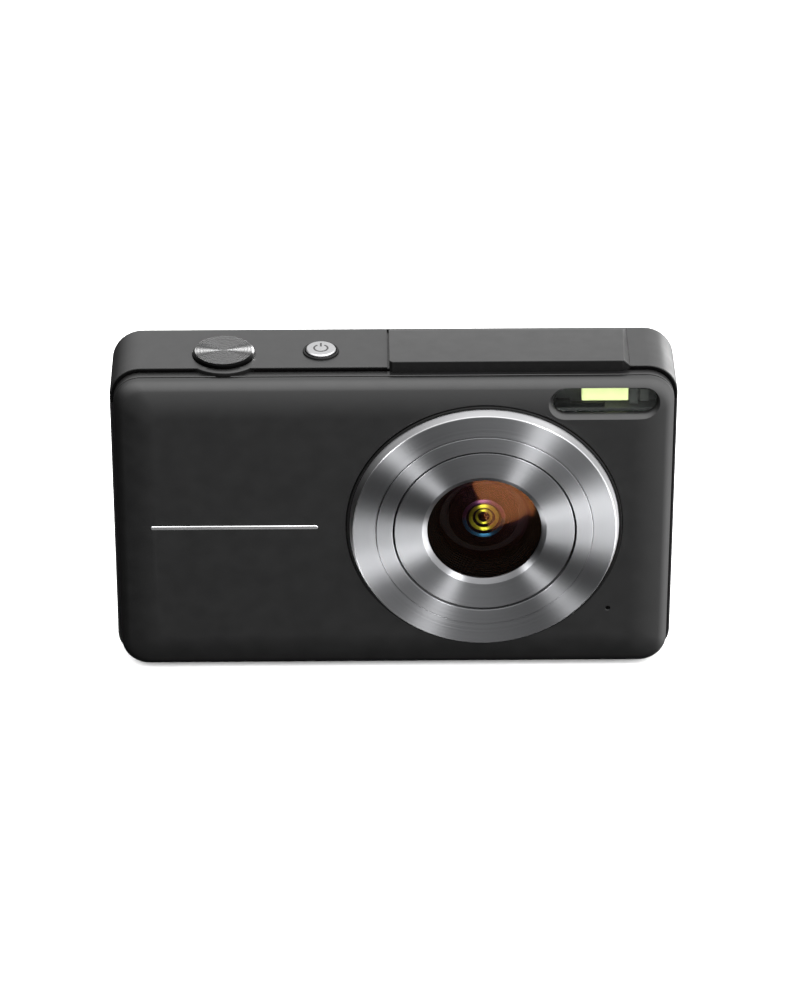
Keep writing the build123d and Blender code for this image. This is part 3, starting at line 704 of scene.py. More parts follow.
# ---- Front ----

def outline(inset, radius=None):
    """The body's outline seen from the front, drawn in by inset."""
    corner = max(CORNER_R - inset, 0.8) if radius is None else radius
    return rounded(BODY_W - 2 * inset, BODY_H - 2 * inset, corner, (0, BODY_H / 2), 14)


def crown_profile():
    """(inset, depth) along the crowned face, from the flat to the outer edge."""
    slope = sin(radians(CROWN_SLOPE))
    start = EDGE_R * (1 - slope)
    wide = [(start + CROWN_R * (slope - sin(radians(a))), CROWN_R * (1 - cos(radians(a))))
            for a in range(0, CROWN_SLOPE)]
    edge = [(EDGE_R * (1 - sin(radians(a))), CROWN_D - EDGE_R * cos(radians(a)))
            for a in range(CROWN_SLOPE, 91, 6)]
    return wide + edge


def make_front_shell():
    corner = CORNER_R - STEP
    rings = [front_ring(outline(STEP + inset, corner - inset / 2), depth)
             for inset, depth in crown_profile()]
    rings.append(front_ring(outline(STEP), SKIRT_D - SKIRT_CHAMFER))
    rings.append(front_ring(outline(STEP + SKIRT_CHAMFER), SKIRT_D))
    rings.append(front_ring(outline(STEP + SKIN), SKIRT_D))
    rings.append(front_ring(outline(STEP + SKIN), SKIN))
    shell = stack("front_shell", rings)
    seat = cutter(round_shape(LENS_X, LENS_Z, BASE_R + FIT, 128), front_ring, 0, 0.6, 0.1)
    spigot = cutter(round_shape(LENS_X, LENS_Z, 12.7), front_ring, 0.3, SKIN + 1)
    groove = cutter(slot_shape(TRIM_X, LENS_Z, TRIM_W + FIT, TRIM_H + FIT), front_ring, 0, 0.4, 0.06)
    hole = cutter(round_shape(MIC_X, MIC_Z, MIC_R, 32), front_ring, 0, SKIN + 1, 0.1)
    return cut(shell, seat, spigot, make_flash_cutter(), groove, hole)


def make_flash_cutter():
    """Slot through the front shell whose mouth opens in a soft slope."""
    slopes = [(-1.5, 1.75, 1.55), (-0.4, 1.3, 1.1), (0.0, 1.02, 0.86), (0.35, 0.62, 0.54),
              (0.75, 0.24, 0.22), (1.15, 0.0, 0.0), (SKIN + 1, 0.0, 0.0)]
    rings = []
    for depth, grow_x, grow_z in slopes:
        width, height = FLASH_W + 2 * grow_x, FLASH_H + 2 * grow_z
        loop = rounded(width, height, height / 2 - 1e-3, (FLASH_X, FLASH_Z), 12)
        rings.append(front_ring(loop, depth))
    return stack("cutter", rings)


def make_front_rim():
    corners = [(STEP + 0.5, SKIRT_D, 0), (STEP + 0.5, RIM_D, 0), (STEP, RIM_D), (STEP, RIM_BACK_D),
               (WALL + FIT, RIM_BACK_D, 0), (WALL + FIT, RIM_END_D, 0), (RIM_IN, RIM_END_D, 0),
               (RIM_IN, SKIN + 0.2, 0), (STEP + SKIN + FIT, SKIN + 0.2, 0),
               (STEP + SKIN + FIT, SKIRT_D, 0)]
    section = softened(corners, 0.14)
    rim = stack("front_rim", [front_ring(outline(inset), depth) for inset, depth in section], True)
    low, radius = COLLAR_LOW_Z - 0.05, COLLAR_R + 0.05
    collar = lathe("cutter", [(0, low), (radius, low), (radius, BODY_H), (0, BODY_H)],
                   (SHUTTER_X, SHUTTER_D), "Z")
    flash_half = FLASH_W / 2 + 1.5
    flash = box("cutter", FLASH_X - flash_half, FLASH_X + flash_half, SKIN, RIM_END_D + 0.1, 54, 60.4)
    return cut(rim, collar, flash)


def make_trim_bar():
    shape = slot_shape(TRIM_X, LENS_Z, TRIM_W, TRIM_H, 8)
    return slab("trim_bar", shape, 0.1, depth_of("trim_bar", 0), depth_of("trim_bar", 1))


# ---- Lens ----

def ring_about_lens(name, corners, radius, steps=192, arc=3):
    return lathe(name, softened(corners, radius, arc), (LENS_X, LENS_Z), "Y", steps)


def make_lens_base_ring():
    corners = [(12.2, 0.1, 0), (25.0, 0.1, 0), (25.0, -0.4), (BASE_R, -0.4), (BASE_R, 0.6, 0),
               (12.6, 0.6, 0), (12.6, 2.4, 0), (12.2, 2.4, 0)]
    return ring_about_lens("lens_base_ring", corners, 0.16)


def make_lens_bezel_ring():
    inner = MID_RING_R + 0.05
    corners = [(inner, 0.1, 0), (BEZEL_R, 0.1, 0), (BEZEL_R, -0.4, 0.05), (FACE_R, -2.0, 0.28),
               (inner, -2.0, 0.06)]
    return ring_about_lens("lens_bezel_ring", corners, 0.1, arc=5)


def make_lens_mid_ring():
    corners = [(GROOVE_R, 0.1, 0), (MID_RING_R, 0.1, 0), (MID_RING_R, -LENS_PROUD, 0.14),
               (GROOVE_R, -LENS_PROUD, 0.1)]
    return ring_about_lens("lens_mid_ring", corners, 0.1, arc=4)


def make_lens_cone_ring():
    corners = [(CONE_R, 0.1, 0), (CONE_R, -2.05, 0.12), (RIM_OUT_R, -1.9, 0.12), (GLASS_VIEW_R, -1.3, 0.1),
               (GLASS_VIEW_R, -1.15, 0), (GLASS_R + 0.05, -1.15, 0), (GLASS_R + 0.05, 0.1, 0)]
    return ring_about_lens("lens_cone_ring", corners, 0.1, arc=4)


def make_lens_glass():
    corners = [(0, -1.13, 0), (GLASS_R, -1.13), (GLASS_R, -0.35), (0, -0.35, 0)]
    return ring_about_lens("lens_glass", corners, 0.08, 128)


def make_lens_baffle():
    """Stepped light trap with fine ridges on each tread."""
    corners = []
    radius = 10.6
    depth = 0.12
    while radius > 8.3:
        corners += [(radius, depth), (radius, depth + 0.3)]
        radius -= 0.3
        depth += 0.3
    corners += [(8.2, depth), (8.2, 4.6), (12.1, 4.6), (12.1, 0.12)]
    return lathe("lens_baffle", corners, (LENS_X, LENS_Z), "Y", 128)


def dome_section(radius, sag, edge_d, back_d, steps=14):
    """Section of a lens element with a domed front and a flat back."""
    dome_r = (radius**2 + sag**2) / (2 * sag)
    section = []
    for i in range(steps + 1):
        r = radius * i / steps
        section.append((r, edge_d - sag + dome_r - (dome_r**2 - r**2) ** 0.5))
    return section + [(radius, back_d), (0, back_d)]


def make_lens_element(name, radius, sag, edge_d, back_d):
    return lathe(name, dome_section(radius, sag, edge_d, back_d), (LENS_X, LENS_Z), "Y", 96)


def make_aperture_rings():
    """Polished lips around the aperture, in front of the rear element."""
    lips = []
    for inner, outer, depth in ((1.1, 1.6, 3.25), (2.1, 2.8, 2.95), (3.3, 4.0, 2.65)):
        corners = [(inner, depth + 0.2, 0), (inner, depth), (outer, depth), (outer, depth + 0.2, 0)]
        lips.append(ring_about_lens("lip", corners, 0.06, 96))
    return gather("aperture_rings", lips)


def make_aperture_stop():
    """Blackened disc that carries the lips and leaves the aperture open."""
    corners = [(0.9, 3.45), (5.15, 3.45), (5.15, 3.85), (0.9, 3.85)]
    return lathe("aperture_stop", corners, (LENS_X, LENS_Z), "Y", 96)


def lips_painted_reflection():
    """Polished yellow lips inside; the outer lips are painted violet above the lens's centre and blue below
    it, a painted reflection of the coatings.
    """
    s = Surface("lips_painted_reflection", (0.5, 0.5, 0.03), 0.3, Metallic=1.0)
    s.turned("Y")
    radius = s.radius_from((LENS_X, LENS_Z), "Y")
    above = s.ranged(s.along(s.position, "Z"), 0, 1, LENS_Z - 0.5, LENS_Z + 0.5)
    # Violet above the lens's centre and blue below it: painted reflection colours, set by height.
    outer = s.mixed(above, (0.02, 0.09, 0.16), (0.16, 0.06, 0.14))
    s.colour(s.mixed(s.ranged(radius, 0, 1, 2.9, 3.1), (0.55, 0.52, 0.04), outer))
    return s.material


def make_lens_barrel():
    """Tube with stepped inner lips down to the aperture in front of the rear element."""
    corners = [(5.2, 3.4), (6.5, 3.4), (6.5, 8.6), (4.0, 8.6), (4.0, 7.8), (5.2, 7.8)]
    return lathe("lens_barrel", corners, (LENS_X, LENS_Z), "Y", 96)


# ---- Flash ----

def make_flash_window():
    """Clear pane in the slot, with a flange behind the front shell."""
    pane = slot_shape(FLASH_X, FLASH_Z, FLASH_W - FIT, FLASH_H - FIT, 12)
    flange = rounded(FLASH_W + 1, FLASH_H + 0.5, FLASH_H / 2 + 0.24, (FLASH_X, FLASH_Z), 12)
    flange_front, flange_back = SKIN + 0.1, 2.1
    solids = [slab("pane", pane, 0.08, 1.2, flange_front),
              stack("flange", [front_ring(flange, flange_front), front_ring(flange, flange_back)])]
    return gather("flash_window", solids)


def make_flash_led():
    low, high = limits("flash_led")
    return box("flash_led", low.x, high.x, depth_of("flash_led", 0), depth_of("flash_led", 1),
               low.z, high.z, 0.15)


def make_flash_frame():
    """Black bars that hold the lamp inside the flash housing."""
    low = FLASH_Z - FLASH_H / 2
    left = FLASH_X - FLASH_W / 2
    bars = [box("flash_frame", left + 0.9, FLASH_X, 2.3, 3.0, low + 0.5, low + 1.4, 0.1),
            box("stop", left + 0.4, left + 3.2, 2.3, 3.4, low + 0.1, low + 1.9, 0.1)]
    return gather("flash_frame", bars)


def make_flash_block():
    """Lighter block beside the lamp."""
    right = FLASH_X + FLASH_W / 2
    blocks = [box("block", right - 3.1, right - 1.5, 2.4, 3.4, FLASH_Z - 0.9, FLASH_Z + 1.6, 0.1),
              box("block", FLASH_X + 4.4, right - 3.4, 2.8, 3.6, FLASH_Z - 1.7, FLASH_Z + 1.4, 0.1)]
    return gather("flash_block", blocks)


# ---- Body ----

def make_mid_body():
    """Cup-shaped outer body from the back face to the reveal behind the rim."""
    rings = []
    for i in range(13):
        angle = radians(90 * i / 12)
        inset = BACK_ROUND * (1 - sin(angle))
        rings.append(front_ring(outline(inset), BODY_D - BACK_ROUND * (1 - cos(angle))))
    for angle in (0, 30, 60, 90):
        t = radians(angle)
        rings.append(front_ring(outline(SOFT_EDGE * (1 - cos(t))), MID_D + SOFT_EDGE * (1 - sin(t))))
    rings.append(front_ring(outline(0.25), MID_D))
    rings.append(front_ring(outline(WALL), MID_D + 1.1))
    rings.append(front_ring(outline(WALL), BACK_IN_D))
    return stack("mid_body", rings)


def seam_block(z_far, z_seam):
    """Block on one side of the seam, which leaves that side's seam edges softened."""
    way = 1 if z_seam > z_far else -1
    rings = []
    for grow, z in ((2, z_far - way), (2, z_seam - way * 2 * SOFT_EDGE - way * 2),
                    (SOFT_EDGE, z_seam - way * 2 * SOFT_EDGE), (-SOFT_EDGE, z_seam)):
        depth_mid = (BODY_D - 6) / 2
        loop = rounded(BODY_W + 2 * grow, BODY_D + 6 + 2 * grow, BACK_ROUND + grow, (0, depth_mid), 12)
        rings.append(top_ring(loop, z))
    return stack("cutter", rings)


def well(x, depth, radius, surface, floor, lip=SOFT_EDGE):
    """Round cutter that sinks from a top surface."""
    return cutter(round_shape(x, depth, radius, 96), top_ring, surface, floor, lip)


def make_top_cover(mid_body):
    cover = combine(twin(mid_body), [seam_block(BODY_H + 3, COVER[0].z)], "INTERSECT")
    cover.name = "top_cover"
    collar_top = BODY_H - 0.002
    collar = softened([(0, COLLAR_LOW_Z, 0), (COLLAR_R, COLLAR_LOW_Z, 0), (COLLAR_R, collar_top),
                       (0, collar_top, 0)], 0.18)
    fuse(cover, lathe("collar", collar, (SHUTTER_X, SHUTTER_D), "Z", 128))
    pocket = box("cutter", DECK_X0 - 0.35, DECK_X1 + 0.02, 4, DECK_BACK_D + 0.02, BODY_H - 0.5, BODY_H + 1)
    below = 60
    return cut(cover, well(SHUTTER_X, SHUTTER_D, SHUTTER_R + SLIP, BODY_H, WELL_FLOOR_Z),
               well(SHUTTER_X, SHUTTER_D, 1.6, WELL_FLOOR_Z + 0.1, below, 0.05),
               well(POWER_X, POWER_D, POWER_R + POWER_GAP, BODY_H, below, 0.05),
               well(POWER_X, POWER_D, BEZEL_RING_R + 0.02, BODY_H, BODY_H - BEZEL_SINK, 0.05), pocket)


def bevel_sharp(obj, width, segments=3, angle=30):
    """Rounds every edge sharper than an angle."""
    change = obj.modifiers.new("bevel", "BEVEL")
    change.width = width
    change.segments = segments
    change.limit_method = "ANGLE"
    change.angle_limit = radians(angle)
    change.use_clamp_overlap = True
    return applied(obj)


def deck_envelope(drop):
    """The raised deck's outer shape, lowered by drop: wedge, rolled-off back, bevelled right end."""
    floor = BODY_H - 0.45
    overhang = BODY_H - STEP + 0.03
    side = [(DECK_D, overhang), (MID_D + 0.05, overhang), (MID_D + 0.05, floor), (DECK_BACK_D, floor),
            (DECK_BACK_D, BODY_H), (DECK_BACK_D - 0.9, BODY_H + 0.42),
            (DECK_SLOPE_D, BODY_H + DECK_BACK_RISE), (DECK_D, DECK_TOP)]
    side = [(depth, z - drop) for depth, z in side]
    deck = stack("deck", [side_ring(side, DECK_X0 - 1), side_ring(side, DECK_X1 + 1)])
    bevel_x = DECK_X1 - DECK_BEVEL
    front = [(DECK_X0, BODY_H - 3), (DECK_X1, BODY_H - 3), (DECK_X1, BODY_H - drop),
             (bevel_x, DECK_TOP - drop), (bevel_x, DECK_TOP + 1), (DECK_X0, DECK_TOP + 1)]
    plan = [(DECK_X0, BODY_D), (DECK_X0, DECK_D + 0.5), (DECK_X0 + 0.5, DECK_D),
            (DECK_X1 - 1.5, DECK_D), (DECK_X1, MID_D), (DECK_X1, BODY_D)]
    return combine(deck, [stack("cutter", [front_ring(front, 0), front_ring(front, BODY_D)]),
                          stack("cutter", [top_ring(plan, BODY_H - 3), top_ring(plan, BODY_H + 3)])],
                   "INTERSECT")


def make_deck():
    """(carrier, painted cover plate) of the raised deck."""
    carrier = combine(deck_envelope(0), [deck_envelope(DECK_SKIN)], "INTERSECT")
    plate = combine(deck_envelope(0), [deck_envelope(DECK_SKIN)], "DIFFERENCE")
    carrier.name, plate.name = "deck_carrier", "deck_plate"
    return carrier, bevel_sharp(plate, 0.06, 2, 20)


def make_shutter_button():
    top = limits("shutter_button")[1].z
    stem_r, snap_r, chamfer = 1.5, 2.5, 0.3
    corners = [(0, STEM_LOW_Z, 0), (stem_r, STEM_LOW_Z, 0), (stem_r, SNAP_LOW_Z, 0), (snap_r, SNAP_LOW_Z, 0),
               (snap_r, SNAP_TOP_Z, 0), (stem_r, SNAP_TOP_Z, 0), (stem_r, CAP_LOW_Z, 0),
               (SHUTTER_R, CAP_LOW_Z, 0), (SHUTTER_R, top - chamfer, 0.08),
               (SHUTTER_R - chamfer, top, 0.08), (0, top, 0)]
    return lathe("shutter_button", softened(corners, 0.1), (SHUTTER_X, SHUTTER_D), "Z", 160)


def make_shutter_spring():
    """Coil between the top switch board and the shutter's snap ring."""
    low, high = limits("shutter_spring")
    turns, around, sides, wire_r = 3, 32, 10, 0.18
    mean_r = (high.x - low.x) / 2 - wire_r
    rise = (high.z - low.z - 2 * wire_r) / (turns * around)
    rings = []
    for i in range(turns * around + 1):
        angle = 2 * pi * i / around
        ring = []
        for spot_x, spot_z in circle(wire_r, (mean_r, low.z + wire_r + rise * i), sides):
            ring.append((SHUTTER_X + spot_x * cos(angle), FRONT_Y + SHUTTER_D + spot_x * sin(angle), spot_z))
        rings.append(ring)
    return stack("shutter_spring", rings)


def make_power_button():
    top = limits("power_button")[1].z
    stem_r, flange_r, chamfer = 1.2, 3.4, 0.2
    corners = [(0, STEM_LOW_Z, 0), (stem_r, STEM_LOW_Z, 0), (stem_r, SNAP_LOW_Z, 0),
               (flange_r, SNAP_LOW_Z, 0), (flange_r, POWER_FLANGE_Z, 0), (POWER_R, POWER_FLANGE_Z, 0),
               (POWER_R, top - chamfer, 0.06), (POWER_R - chamfer, top, 0.06), (0, top, 0)]
    return lathe("power_button", softened(corners, 0.1), (POWER_X, POWER_D), "Z", 128)


def make_collar_shade_ring():
    """Black ring under the collar's rim that shows as a thin dark crescent: painted shadow where the collar
    shades the body.
    """
    inner, outer, gasket_top = COLLAR_R - 0.5, COLLAR_R + 0.03, 62.4
    corners = [(inner, WELL_FLOOR_Z), (outer, WELL_FLOOR_Z), (outer, gasket_top), (inner, gasket_top)]
    return lathe("collar_shade_ring", corners, (SHUTTER_X, SHUTTER_D), "Z", 128)


def make_power_bezel():
    inner, low, top = POWER_R + POWER_GAP, BODY_H - BEZEL_SINK, limits("power_bezel")[1].z
    corners = [(inner, low, 0), (BEZEL_RING_R, low, 0), (BEZEL_RING_R, top), (inner, top)]
    return lathe("power_bezel", softened(corners, 0.12), (POWER_X, POWER_D), "Z", 128)


def key_places():
    return {"mode_button": (-KEY_DX, KEY_DZ), "menu_button": (KEY_DX, KEY_DZ),
            "play_button": (-KEY_DX, -KEY_DZ), "delete_button": (KEY_DX, -KEY_DZ)}


def screw_bores(radius, s0, s1, lip):
    """Cutters on the case screws' axes, from s0 to s1 in from the outside of the body."""
    half = BODY_W / 2
    tools = [well(x, SCREW_D, radius, s0, s1, lip) for x in BOTTOM_SCREWS_X]
    for side, heights in ((-1, LEFT_SCREWS_Z), (1, RIGHT_SCREWS_Z)):
        tools += [cutter(round_shape(SCREW_D, z, radius, 48), side_ring, side * (half - s0),
                         side * (half - s1), lip) for z in heights]
    return tools


def back_cutters():
    """Display recess, and the holes for the keys and the status light."""
    back, inner = BODY_D, BACK_IN_D - 1
    tools = [cutter(rect_shape(LCD_X, LCD_Z, LCD_W, LCD_H, LCD_CORNER_R), front_ring, back, 20.25, 0.1),
             cutter(rect_shape(LCD_X, LCD_Z, LCD_VIEW_W, LCD_VIEW_H, 0.8), front_ring, 20.5, inner),
             cutter(round_shape(KEY_X, NAV_Z, NAV_HOLE_R, 96), front_ring, back, inner),
             cutter(slot_shape(KEY_X, ROCKER_Z, ROCKER_W + 0.6, ROCKER_H + 0.6), front_ring, back, inner),
             cutter(round_shape(LED_X, ROCKER_Z, 0.85, 32), front_ring, back, inner, 0.08)]
    for dx, dz in key_places().values():
        tools.append(cutter(round_shape(KEY_X + dx, NAV_Z + dz, KEY_R + SLIP), front_ring, back, inner))
    return tools


def bottom_cutters():
    """Battery door, latch slot, tripod socket and speaker holes."""
    door = limits("battery_door")
    door_front, door_back = door[0].y - FRONT_Y - SLIP, HINGE_D + HINGE_R + 0.25
    door_mid = ((door[0].x + door[1].x) / 2, (door_front + door_back) / 2)
    door_w, door_l = door[1].x - door[0].x + 2 * SLIP, door_back - door_front
    through = WALL + 1
    slot_x0, slot_x1 = THUMB_X0 - SLIP, THUMB_X1 + LATCH_TRAVEL + 0.2
    latch_slot = rect_shape((slot_x0 + slot_x1) / 2, LATCH_D, slot_x1 - slot_x0, LATCH_SLOT_W, 0.3)
    tools = [cutter(rect_shape(*door_mid, door_w, door_l, 0.3), top_ring, 0, through),
             cutter(latch_slot, top_ring, 0, through),
             well(LENS_X, TRIPOD_D, TRIPOD_BODY_R + 0.05, 0, 7)]
    for dx, dd in ((0, 0), (1, 0), (-1, 0), (0, 1), (0, -1)):
        hole = round_shape(SPEAKER_X + SPEAKER_PITCH * dx, SPEAKER_D + SPEAKER_PITCH * dd, SPEAKER_R, 24)
        tools.append(cutter(hole, top_ring, 0, through, 0.1))
    return tools


def side_cutters():
    """USB opening, card slot and strap pocket."""
    half = BODY_W / 2
    low, high = STRAP_Z - 3.4, STRAP_Z + 3.4
    return [cutter(lambda g: rounded(3.7 + 2 * g, 9.5 + 2 * g, 1.849 + g, (USB_D, USB_Z)), side_ring,
                   half, half - 2.5),
            cutter(lambda g: rounded(1.2 + 2 * g, 11.4 + 2 * g, 0.2 + g, (CARD_D, CARD_Z)), side_ring,
                   half, half - 2.5, 0.1),
            cutter(lambda g: rounded(5.2 + 2 * g, 5.2 + 2 * g, 0.8 + g, (STRAP_D, STRAP_Z)), side_ring,
                   -half, -half + 2.9, 0.3),
            lathe("cutter", [(0, low), (STRAP_BAR_R + 0.02, low), (STRAP_BAR_R + 0.02, high), (0, high)],
                  (-half + STRAP_BAR_IN, STRAP_D), "Z", 32)]


def make_rear_shell(mid_body):
    shell = combine(twin(mid_body), [seam_block(-2, SHELL[1].z)], "INTERSECT")
    shell.name = "rear_shell"
    half = BODY_W / 2
    door = limits("battery_door")
    extras = [lathe("boss", [(0, WALL - 0.2), (5.6, WALL - 0.2), (5.6, 6.4), (0, 6.4)],
                    (LENS_X, TRIPOD_D), "Z", 64),
              box("strap_box", -half + 1, -half + 3.9, STRAP_D - 3.6, STRAP_D + 3.6,
                  STRAP_Z - 3.7, STRAP_Z + 3.7)]
    for x0, x1 in ((door[0].x - 2.3, door[0].x - SLIP), (door[1].x + SLIP, door[1].x + 2.3)):
        extras.append(box("lug", x0, x1, HINGE_D - 1.5, HINGE_D + 1.6, WALL - 0.2, 3.4))
    fuse(shell, *extras)
    pin = [(HINGE_D + dd, HINGE_R + dz) for dd, dz in circle(PIN_R + 0.02, steps=24)]
    pin_bore = stack("cutter", [side_ring(pin, door[0].x - 1.8), side_ring(pin, door[1].x + 1.8)])
    heads = screw_bores(SCREW_HEAD_R + FIT, 0, 0.8, 0.08)
    shanks = screw_bores(SCREW_R + 0.1, 0.7, WALL + 1, 0.02)
    return cut(shell, *bottom_cutters(), pin_bore, *back_cutters(), *side_cutters(), *heads, *shanks)


# ---- Back ----

def make_lcd_window():
    low, high = limits("lcd_window")
    shape = rect_shape(LCD_X, LCD_Z, high.x - low.x, high.z - low.z, LCD_CORNER_R - FIT)
    return slab("lcd_window", shape, 0.15, depth_of("lcd_window", 0), BODY_D)


def make_key(name, x, z):
    """Round key with a shallow dish, a retaining flange and a stem."""
    top = BODY_D + KEY_RISE
    stem_r, flange_r = 1.0, 3.3
    corners = [(0, KEY_STEM_D, 0), (stem_r, KEY_STEM_D, 0), (stem_r, KEY_FLANGE_D, 0),
               (flange_r, KEY_FLANGE_D, 0), (flange_r, KEY_FLANGE_BACK_D, 0), (KEY_R, KEY_FLANGE_BACK_D, 0),
               (KEY_R, top, 0.25), (KEY_R - 0.5, top - 0.02, 0.3), (0, top - 0.15, 0)]
    return lathe(name, softened(corners, 0.1, 4), (x, z), "Y", 64)


def make_nav_ring():
    top = depth_of("nav_ring", 1)
    hole, flange_r = OK_R + 0.45, NAV_R + 0.8
    corners = [(hole, NAV_FLANGE_D, 0), (flange_r, NAV_FLANGE_D, 0), (flange_r, NAV_FLANGE_BACK_D, 0),
               (NAV_R, NAV_FLANGE_BACK_D, 0), (NAV_R, top - 0.5, 0.3), (NAV_R - 0.5, top, 0.3),
               (7.6, top - 0.14, 1.5), (hole, top - 0.05, 0.3)]
    return lathe("nav_ring", softened(corners, 0.1, 5), (KEY_X, NAV_Z), "Y", 128)


def make_ok_button():
    top = depth_of("ok_button", 1)
    stem_r, cap_d = 1.2, 18.3
    corners = [(0, KEY_STEM_D, 0), (stem_r, KEY_STEM_D, 0), (stem_r, cap_d, 0), (OK_R, cap_d, 0),
               (OK_R, top - 0.1, 0.3), (2.5, top - 0.02, 1.0), (0, top, 0)]
    return lathe("ok_button", softened(corners, 0.1, 4), (KEY_X, NAV_Z), "Y", 96)


def make_zoom_rocker():
    shape = slot_shape(KEY_X, ROCKER_Z, ROCKER_W, ROCKER_H)
    rocker = slab("zoom_rocker", shape, 0.25, 19.0, BODY_D + ROCKER_RISE)
    flange = slot_shape(KEY_X, ROCKER_Z, ROCKER_W + 1.4, ROCKER_H + 1.4)(0)
    flange_depths = (NAV_FLANGE_D + 0.05, NAV_FLANGE_BACK_D)
    extras = [stack("flange", [front_ring(flange, depth) for depth in flange_depths])]
    for dx in (-5, 5):
        stem = [(0, KEY_STEM_D), (1.0, KEY_STEM_D), (1.0, KEY_STEM_D + 0.95), (0, KEY_STEM_D + 0.95)]
        extras.append(lathe("stem", stem, (KEY_X + dx, ROCKER_Z), "Y", 32))
        extras.append(box("ridge", KEY_X + dx - 0.35, KEY_X + dx + 0.35, BODY_D, BODY_D + 0.75,
                          ROCKER_Z - 1.4, ROCKER_Z + 1.4, 0.2))
    return fuse(rocker, *extras)


def make_status_led():
    section = dome_section(0.78, 0.25, BODY_D, 16.35, 6)
    section = [(r, 2 * BODY_D - 0.25 - d if i < 7 else d) for i, (r, d) in enumerate(section)]
    return lathe("status_led", section, (LED_X, ROCKER_Z), "Y", 32)


# ---- Bottom and sides ----

def make_battery_door():
    low, high = limits("battery_door")
    front = low.y - FRONT_Y
    barrel = [(HINGE_D + HINGE_R * sin(radians(a)), HINGE_R - HINGE_R * cos(radians(a)))
              for a in range(0, 271, 10)]
    start = HINGE_D - (HINGE_R**2 - (HINGE_R - 1.25) ** 2) ** 0.5
    barrel = [p for p in barrel if p[0] > start or p[1] > 1.25]
    section = softened([(front, 0.12, 0), (front + 0.12, 0, 0)], 0) + barrel + [(start, 1.25), (front, 1.25)]
    door = stack("battery_door", [side_ring(section, low.x), side_ring(section, high.x)])
    pin = [(HINGE_D + dd, HINGE_R + dz) for dd, dz in circle(PIN_R + 0.06, steps=24)]
    bore = stack("cutter", [side_ring(pin, low.x - 1), side_ring(pin, high.x + 1)])
    return cut(door, bore)


def make_battery_latch():
    """Slider: ribbed thumb piece in the slot, on a plate inside the wall."""
    low, high = limits("battery_latch")
    thumb_half = LATCH_SLOT_W / 2 - SLIP
    latch = box("battery_latch", THUMB_X0, THUMB_X1, LATCH_D - thumb_half, LATCH_D + thumb_half,
                0.35, 1.7, 0.12)
    parts = [box("plate", low.x, high.x, low.y - FRONT_Y, high.y - FRONT_Y, WALL + 0.05, high.z, 0.1)]
    for i in range(3):
        x = THUMB_X0 + 1.25 + 1.5 * i
        parts.append(box("rib", x - 0.3, x + 0.3, LATCH_D - 1.5, LATCH_D + 1.5, low.z, 0.6, 0.12))
    return fuse(latch, *parts)


def make_tripod_nut():
    """Flanged insert whose bore carries a real helical thread."""
    around, turns_per_step = 96, 10
    floor, mouth = 6.3, 0.1
    rows = []
    count = int((floor - mouth - 0.3) / THREAD_PITCH * turns_per_step)
    for j in range(count + 1):
        z = mouth + 0.25 + j * THREAD_PITCH / turns_per_step
        row = []
        for i in range(around):
            angle = 2 * pi * i / around
            phase = (z / THREAD_PITCH - i / around) % 1
            radius = TRIPOD_THREAD_R - 0.62 * (1 - abs(2 * phase - 1))
            row.append((radius * cos(angle), radius * sin(angle), z))
        rows.append(row)

    def loop(radius, z):
        return [(radius * cos(2 * pi * i / around), radius * sin(2 * pi * i / around), z)
                for i in range(around)]

    rings = [loop(TRIPOD_THREAD_R + 0.25, mouth)] + rows + [loop(TRIPOD_THREAD_R - 0.5, floor)]
    outside = [loop(0.01, floor), loop(0.01, 7.3), loop(5.0, 7.3), loop(5.0, 6.45), loop(TRIPOD_BODY_R, 6.45),
               loop(TRIPOD_BODY_R, mouth + 0.1), loop(TRIPOD_BODY_R - 0.1, mouth)]
    rings = [[(LENS_X + x, FRONT_Y + TRIPOD_D + y, z) for x, y, z in ring] for ring in rings + outside]
    return stack("tripod_nut", rings, True)


def make_strap_bar():
    low, high = limits("strap_bar")
    corners = [(0, low.z, 0), (STRAP_BAR_R, low.z), (STRAP_BAR_R, high.z), (0, high.z, 0)]
    return lathe("strap_bar", softened(corners, 0.1), (-BODY_W / 2 + STRAP_BAR_IN, STRAP_D), "Z", 32)


def make_screw():
    """Screw along +Z with its head's face at z = 0.08, on the body's bottom at the origin."""
    head = softened([(0, 0.08, 0), (SCREW_HEAD_R, 0.08), (SCREW_HEAD_R, 0.75, 0), (SCREW_R, 0.75, 0),
                     (SCREW_R, 4.2, 0), (0, 4.2, 0)], 0.18)
    screw = lathe("screw", head, (0, -FRONT_Y), "Z", 48)
    reach, half, floor = 0.8, 0.16, 0.5
    wings = [stack("cutter", [[(x, y, z) for x, y in rounded(w, h, 0.05, (0, 0), 2)] for z in (-0.2, floor)])
             for w, h in ((2 * reach, 2 * half), (2 * half, 2 * reach))]
    return cut(screw, *wings)


def make_case_screws():
    half = BODY_W / 2
    middle = FRONT_Y + SCREW_D
    moves = [Matrix.Translation((x, middle, 0)) for x in BOTTOM_SCREWS_X]
    for side, heights in ((-1, LEFT_SCREWS_Z), (1, RIGHT_SCREWS_Z)):
        inwards = Matrix.Rotation(radians(-90 * side), 4, "Y")
        moves += [Matrix.Translation((side * half, middle, z)) @ inwards for z in heights]
    screw = make_screw()
    copies = []
    for move in moves:
        copy = twin(screw)
        copy.data.transform(move)
        copies.append(copy)
    bpy.data.objects.remove(screw)
    return gather("case_screws", copies)


